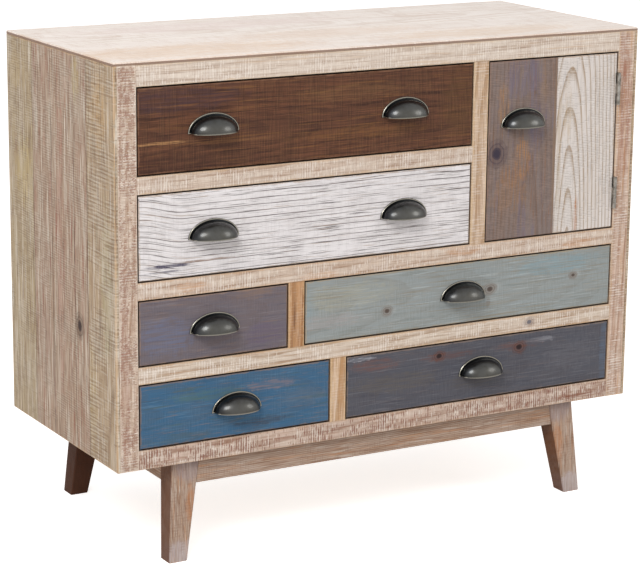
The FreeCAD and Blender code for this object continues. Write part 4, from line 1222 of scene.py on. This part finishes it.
class SIDEBOARD_OT_fixings(bpy.types.Operator):
    """Screws of hinges, battens, pulls and strike plate, and the brads that hold the back"""

    bl_idname = "sideboard.fixings"
    bl_label = "Fixings"

    def disc(self, size, segments, taper):
        """A low round head on the ground plane, narrower at its top."""
        radius, height = size[0] * MM, size[1] * MM
        bm = bmesh.new()
        bmesh.ops.create_circle(bm, cap_ends=True, segments=segments, radius=radius)
        lifted = drawn_out(bm, list(bm.faces), (0, 0, height))[0]
        bmesh.ops.scale(bm, vec=(taper, taper, 1), verts=lifted)
        return bm

    def brad(self):
        return self.disc(BRAD, 12, 0.7)

    def screw(self, size):
        """A low screw head with a cross recess."""
        bm = self.disc(size, 24, 0.86)
        radius, height = size[0] * MM, size[1] * MM
        arm, slit = radius * 0.6, radius * 0.15
        for normal in (Vector((1, 0, 0)), Vector((0, 1, 0))):
            for reach in (-arm, -slit, slit, arm):
                upper = self.upper(bm, height)
                geometry = {item for face in upper for item in (face, *face.edges, *face.verts)}
                bmesh.ops.bisect_plane(bm, geom=list(geometry), plane_co=normal * reach, plane_no=normal)
        recess = []
        for face in self.upper(bm, height):
            near, far = sorted(abs(part) for part in face.calc_center_median()[:2])
            if near < slit and far < arm:
                recess.append(face)
        drawn_out(bm, recess, (0, 0, -0.8 * height))
        return bm

    def upper(self, bm, level):
        return [face for face in bm.faces if min(vert.co.z for vert in face.verts) > level * 0.99]

    def place(self, whole, part, place, facing, turn=0.0):
        """Sets one head on a face, looking the way the face looks."""
        upright = Vector((0, 0, 1)).rotation_difference(Vector(facing)).to_matrix()
        matrix = upright @ Matrix.Rotation(turn, 3, "Z")
        bmesh.ops.rotate(part, cent=(0, 0, 0), matrix=matrix, verts=part.verts)
        bmesh.ops.translate(part, vec=place, verts=part.verts)
        gather(whole, part)

    def hinge_screws(self, whole, node, x, facing):
        low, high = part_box(node)
        leaf = HINGE_LEAF * MM
        for bottom in (low.z, high.z - leaf):
            for number, (y, share_up) in enumerate(HINGE_SCREW_PLACES):
                place = Vector((*at(x, y, 0)[:2], bottom + leaf * share_up))
                self.place(whole, self.screw(HINGE_SCREW), place, facing, 0.7 * number + bottom * 9)

    def pull_screws(self, whole, front, pulls):
        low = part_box(pulls)[0]
        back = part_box(front)[1].y
        for left in pull_lefts(pulls):
            for number, side in enumerate((-PULL_SCREW_SIDE, PULL_SCREW_SIDE)):
                x = left + (PULL_WIDTH / 2 + side) * MM
                place = Vector((x, back, low.z + PULL_SCREW_RISE * MM))
                self.place(whole, self.screw(PULL_SCREW), place, (0, 1, 0), 0.9 * number + left * 5)

    def finish(self, name, whole, body, steel):
        finished(name, whole, body, steel)

    def spread(self, first, last, count):
        return [first + (last - first) * step / (count - 1) for step in range(count)]

    def execute(self, context):
        steel = steel_finish(context.scene.sideboard_metal)
        for name in DRAWER_NAMES:
            whole = bmesh.new()
            self.pull_screws(whole, f"{name}_drawer_front", pull_node(name))
            self.finish(f"{name}_drawer_screws", whole, f"{name}_drawer", steel)

        whole = bmesh.new()
        self.pull_screws(whole, "door_left_board", "door_pull")
        self.hinge_screws(whole, "hinge_door_leaves", DOOR_LEAF_X, (1, 0, 0))
        low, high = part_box("door_battens")
        for z in (low.z + BATTEN_SCREW_RISE * MM, high.z - BATTEN_SCREW_RISE * MM):
            for number, x in enumerate(BATTEN_SCREWS_X):
                place = Vector((at(x, 0, 0).x, high.y, z))
                self.place(whole, self.screw(BATTEN_SCREW), place, (0, 1, 0), 1.1 * number + z)
        low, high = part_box("strike_plate")
        for z in (low.z + PLATE_SCREW_RISE * MM, high.z - PLATE_SCREW_RISE * MM):
            place = Vector(((low.x + high.x) / 2, high.y, z))
            self.place(whole, self.screw(PLATE_SCREW), place, (0, 1, 0), z * 30)
        self.finish("door_screws", whole, "door", steel)

        whole = bmesh.new()
        self.hinge_screws(whole, "hinge_case_leaves", CASE_LEAF_X, (-1, 0, 0))
        low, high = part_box("back_panel")
        inset = BRAD_INSET * MM
        columns = self.spread(low.x + inset, high.x - inset, BRAD_COLUMNS)
        rows = self.spread(low.z + inset, high.z - inset, BRAD_ROWS)
        for x in columns:
            for z in rows:
                if x in (columns[0], columns[-1]) or z in (rows[0], rows[-1]):
                    self.place(whole, self.brad(), Vector((x, high.y, z)), (0, 1, 0))
        self.finish("case_fixings", whole, "case", steel)
        return {"FINISHED"}


class SIDEBOARD_OT_stage(bpy.types.Operator):
    """Floor, lamps, light all round and camera"""

    bl_idname = "sideboard.stage"
    bl_label = "Stage"

    def floor(self, settings):
        bm = bmesh.new()
        bmesh.ops.create_circle(bm, cap_ends=True, segments=96, radius=FLOOR_RADIUS)
        mesh = bpy.data.meshes.new("floor")
        bm.to_mesh(mesh)
        bm.free()
        item = add_object("floor", mesh)
        material, wiring = new_material("pale_floor")
        seen = wiring.node("ShaderNodeLightPath").outputs["Is Camera Ray"]
        wiring.surface({
            "Base Color": settings.floor,
            "Roughness": 0.9,
            "Emission Color": (1, 1, 1, 1),
            "Emission Strength": wiring.times(seen, 0.7),
        })
        mesh.materials.append(material)

    def world(self, settings):
        world = bpy.data.worlds.new("even_light")
        world.use_nodes = True
        world.node_tree.nodes.clear()
        wiring = Wiring(world.node_tree)
        path = wiring.node("ShaderNodeLightPath").outputs
        seen = wiring.sum("MAXIMUM", path["Is Camera Ray"], path["Is Glossy Ray"])
        seen = wiring.sum("MAXIMUM", seen, path["Is Transmission Ray"])
        strength = wiring.span(seen, 0.0, 1.0, settings.world_light, 1.0, smooth=False)
        shader = wiring.node("ShaderNodeBackground", {"Color": (1, 1, 1, 1), "Strength": strength})
        wiring.node("ShaderNodeOutputWorld", {"Surface": shader.outputs[0]})
        bpy.context.scene.world = world

    def lamp(self, name, place, size, power):
        """A round lamp, turned towards the middle of the sideboard."""
        light = bpy.data.lights.new(name, "AREA")
        light.shape = "DISK"
        light.size = size
        light.energy = power
        item = add_object(name, light)
        item.location = place
        item.rotation_euler = (LAMP_AIM - Vector(place)).to_track_quat("-Z", "Y").to_euler()

    def camera(self, settings):
        ahead = CAMERA_AHEAD.normalized()
        level = ahead.cross(Vector((0, 0, 1))).normalized()
        roll = math.radians(CAMERA_ROLL)
        upright = level.cross(ahead)
        right = level * math.cos(roll) + upright * math.sin(roll)
        up = upright * math.cos(roll) - level * math.sin(roll)
        lens = bpy.data.cameras.new("camera")
        lens.sensor_width = 36
        lens.sensor_fit = "HORIZONTAL"
        lens.lens = settings.focal_length
        lens.clip_end = 200
        item = add_object("camera", lens)
        turn = Matrix((right, up, -ahead)).transposed()
        item.matrix_world = Matrix.Translation(CAMERA_EYE) @ turn.to_4x4()
        bpy.context.scene.camera = item

    def execute(self, context):
        settings = context.scene.sideboard_stage
        self.floor(settings)
        self.world(settings)
        self.lamp("key", *KEY_LAMP, settings.key_power)
        self.lamp("fill", *FILL_LAMP, settings.fill_power)
        self.camera(settings)
        context.scene.view_settings.view_transform = "Standard"
        return {"FINISHED"}


class SIDEBOARD_PT_panel(bpy.types.Panel):
    bl_idname = "SIDEBOARD_PT_panel"
    bl_label = "Sideboard"
    bl_space_type = "VIEW_3D"
    bl_region_type = "UI"
    bl_category = "Sideboard"

    def draw(self, context):
        for group in SETTINGS:
            settings = getattr(context.scene, group)
            box = self.layout.box()
            for name in settings.bl_rna.properties.keys():
                if name not in ("rna_type", "name"):
                    box.prop(settings, name)
        for operator in OPERATORS:
            self.layout.operator(operator.bl_idname)


SETTINGS = {
    "sideboard_wood": SideboardWood,
    "sideboard_paint": SideboardPaint,
    "sideboard_metal": SideboardMetal,
    "sideboard_stage": SideboardStage,
}
OPERATORS = (
    SIDEBOARD_OT_top,
    SIDEBOARD_OT_sides,
    SIDEBOARD_OT_face_frame,
    SIDEBOARD_OT_drawer_fronts,
    SIDEBOARD_OT_door_boards,
    SIDEBOARD_OT_legs,
    SIDEBOARD_OT_inside,
    SIDEBOARD_OT_pulls,
    SIDEBOARD_OT_hardware,
    SIDEBOARD_OT_fixings,
    SIDEBOARD_OT_stage,
)


def register():
    for item in (*SETTINGS.values(), *OPERATORS, SIDEBOARD_PT_panel):
        bpy.utils.register_class(item)
    for name, settings in SETTINGS.items():
        setattr(bpy.types.Scene, name, bpy.props.PointerProperty(type=settings))


def unregister():
    for name in SETTINGS:
        delattr(bpy.types.Scene, name)
    for item in reversed((*SETTINGS.values(), *OPERATORS, SIDEBOARD_PT_panel)):
        bpy.utils.unregister_class(item)


def main():
    register()
    for operator in OPERATORS:
        group, name = operator.bl_idname.split(".")
        getattr(getattr(bpy.ops, group), name)()


if __name__ == "__main__":
    main()
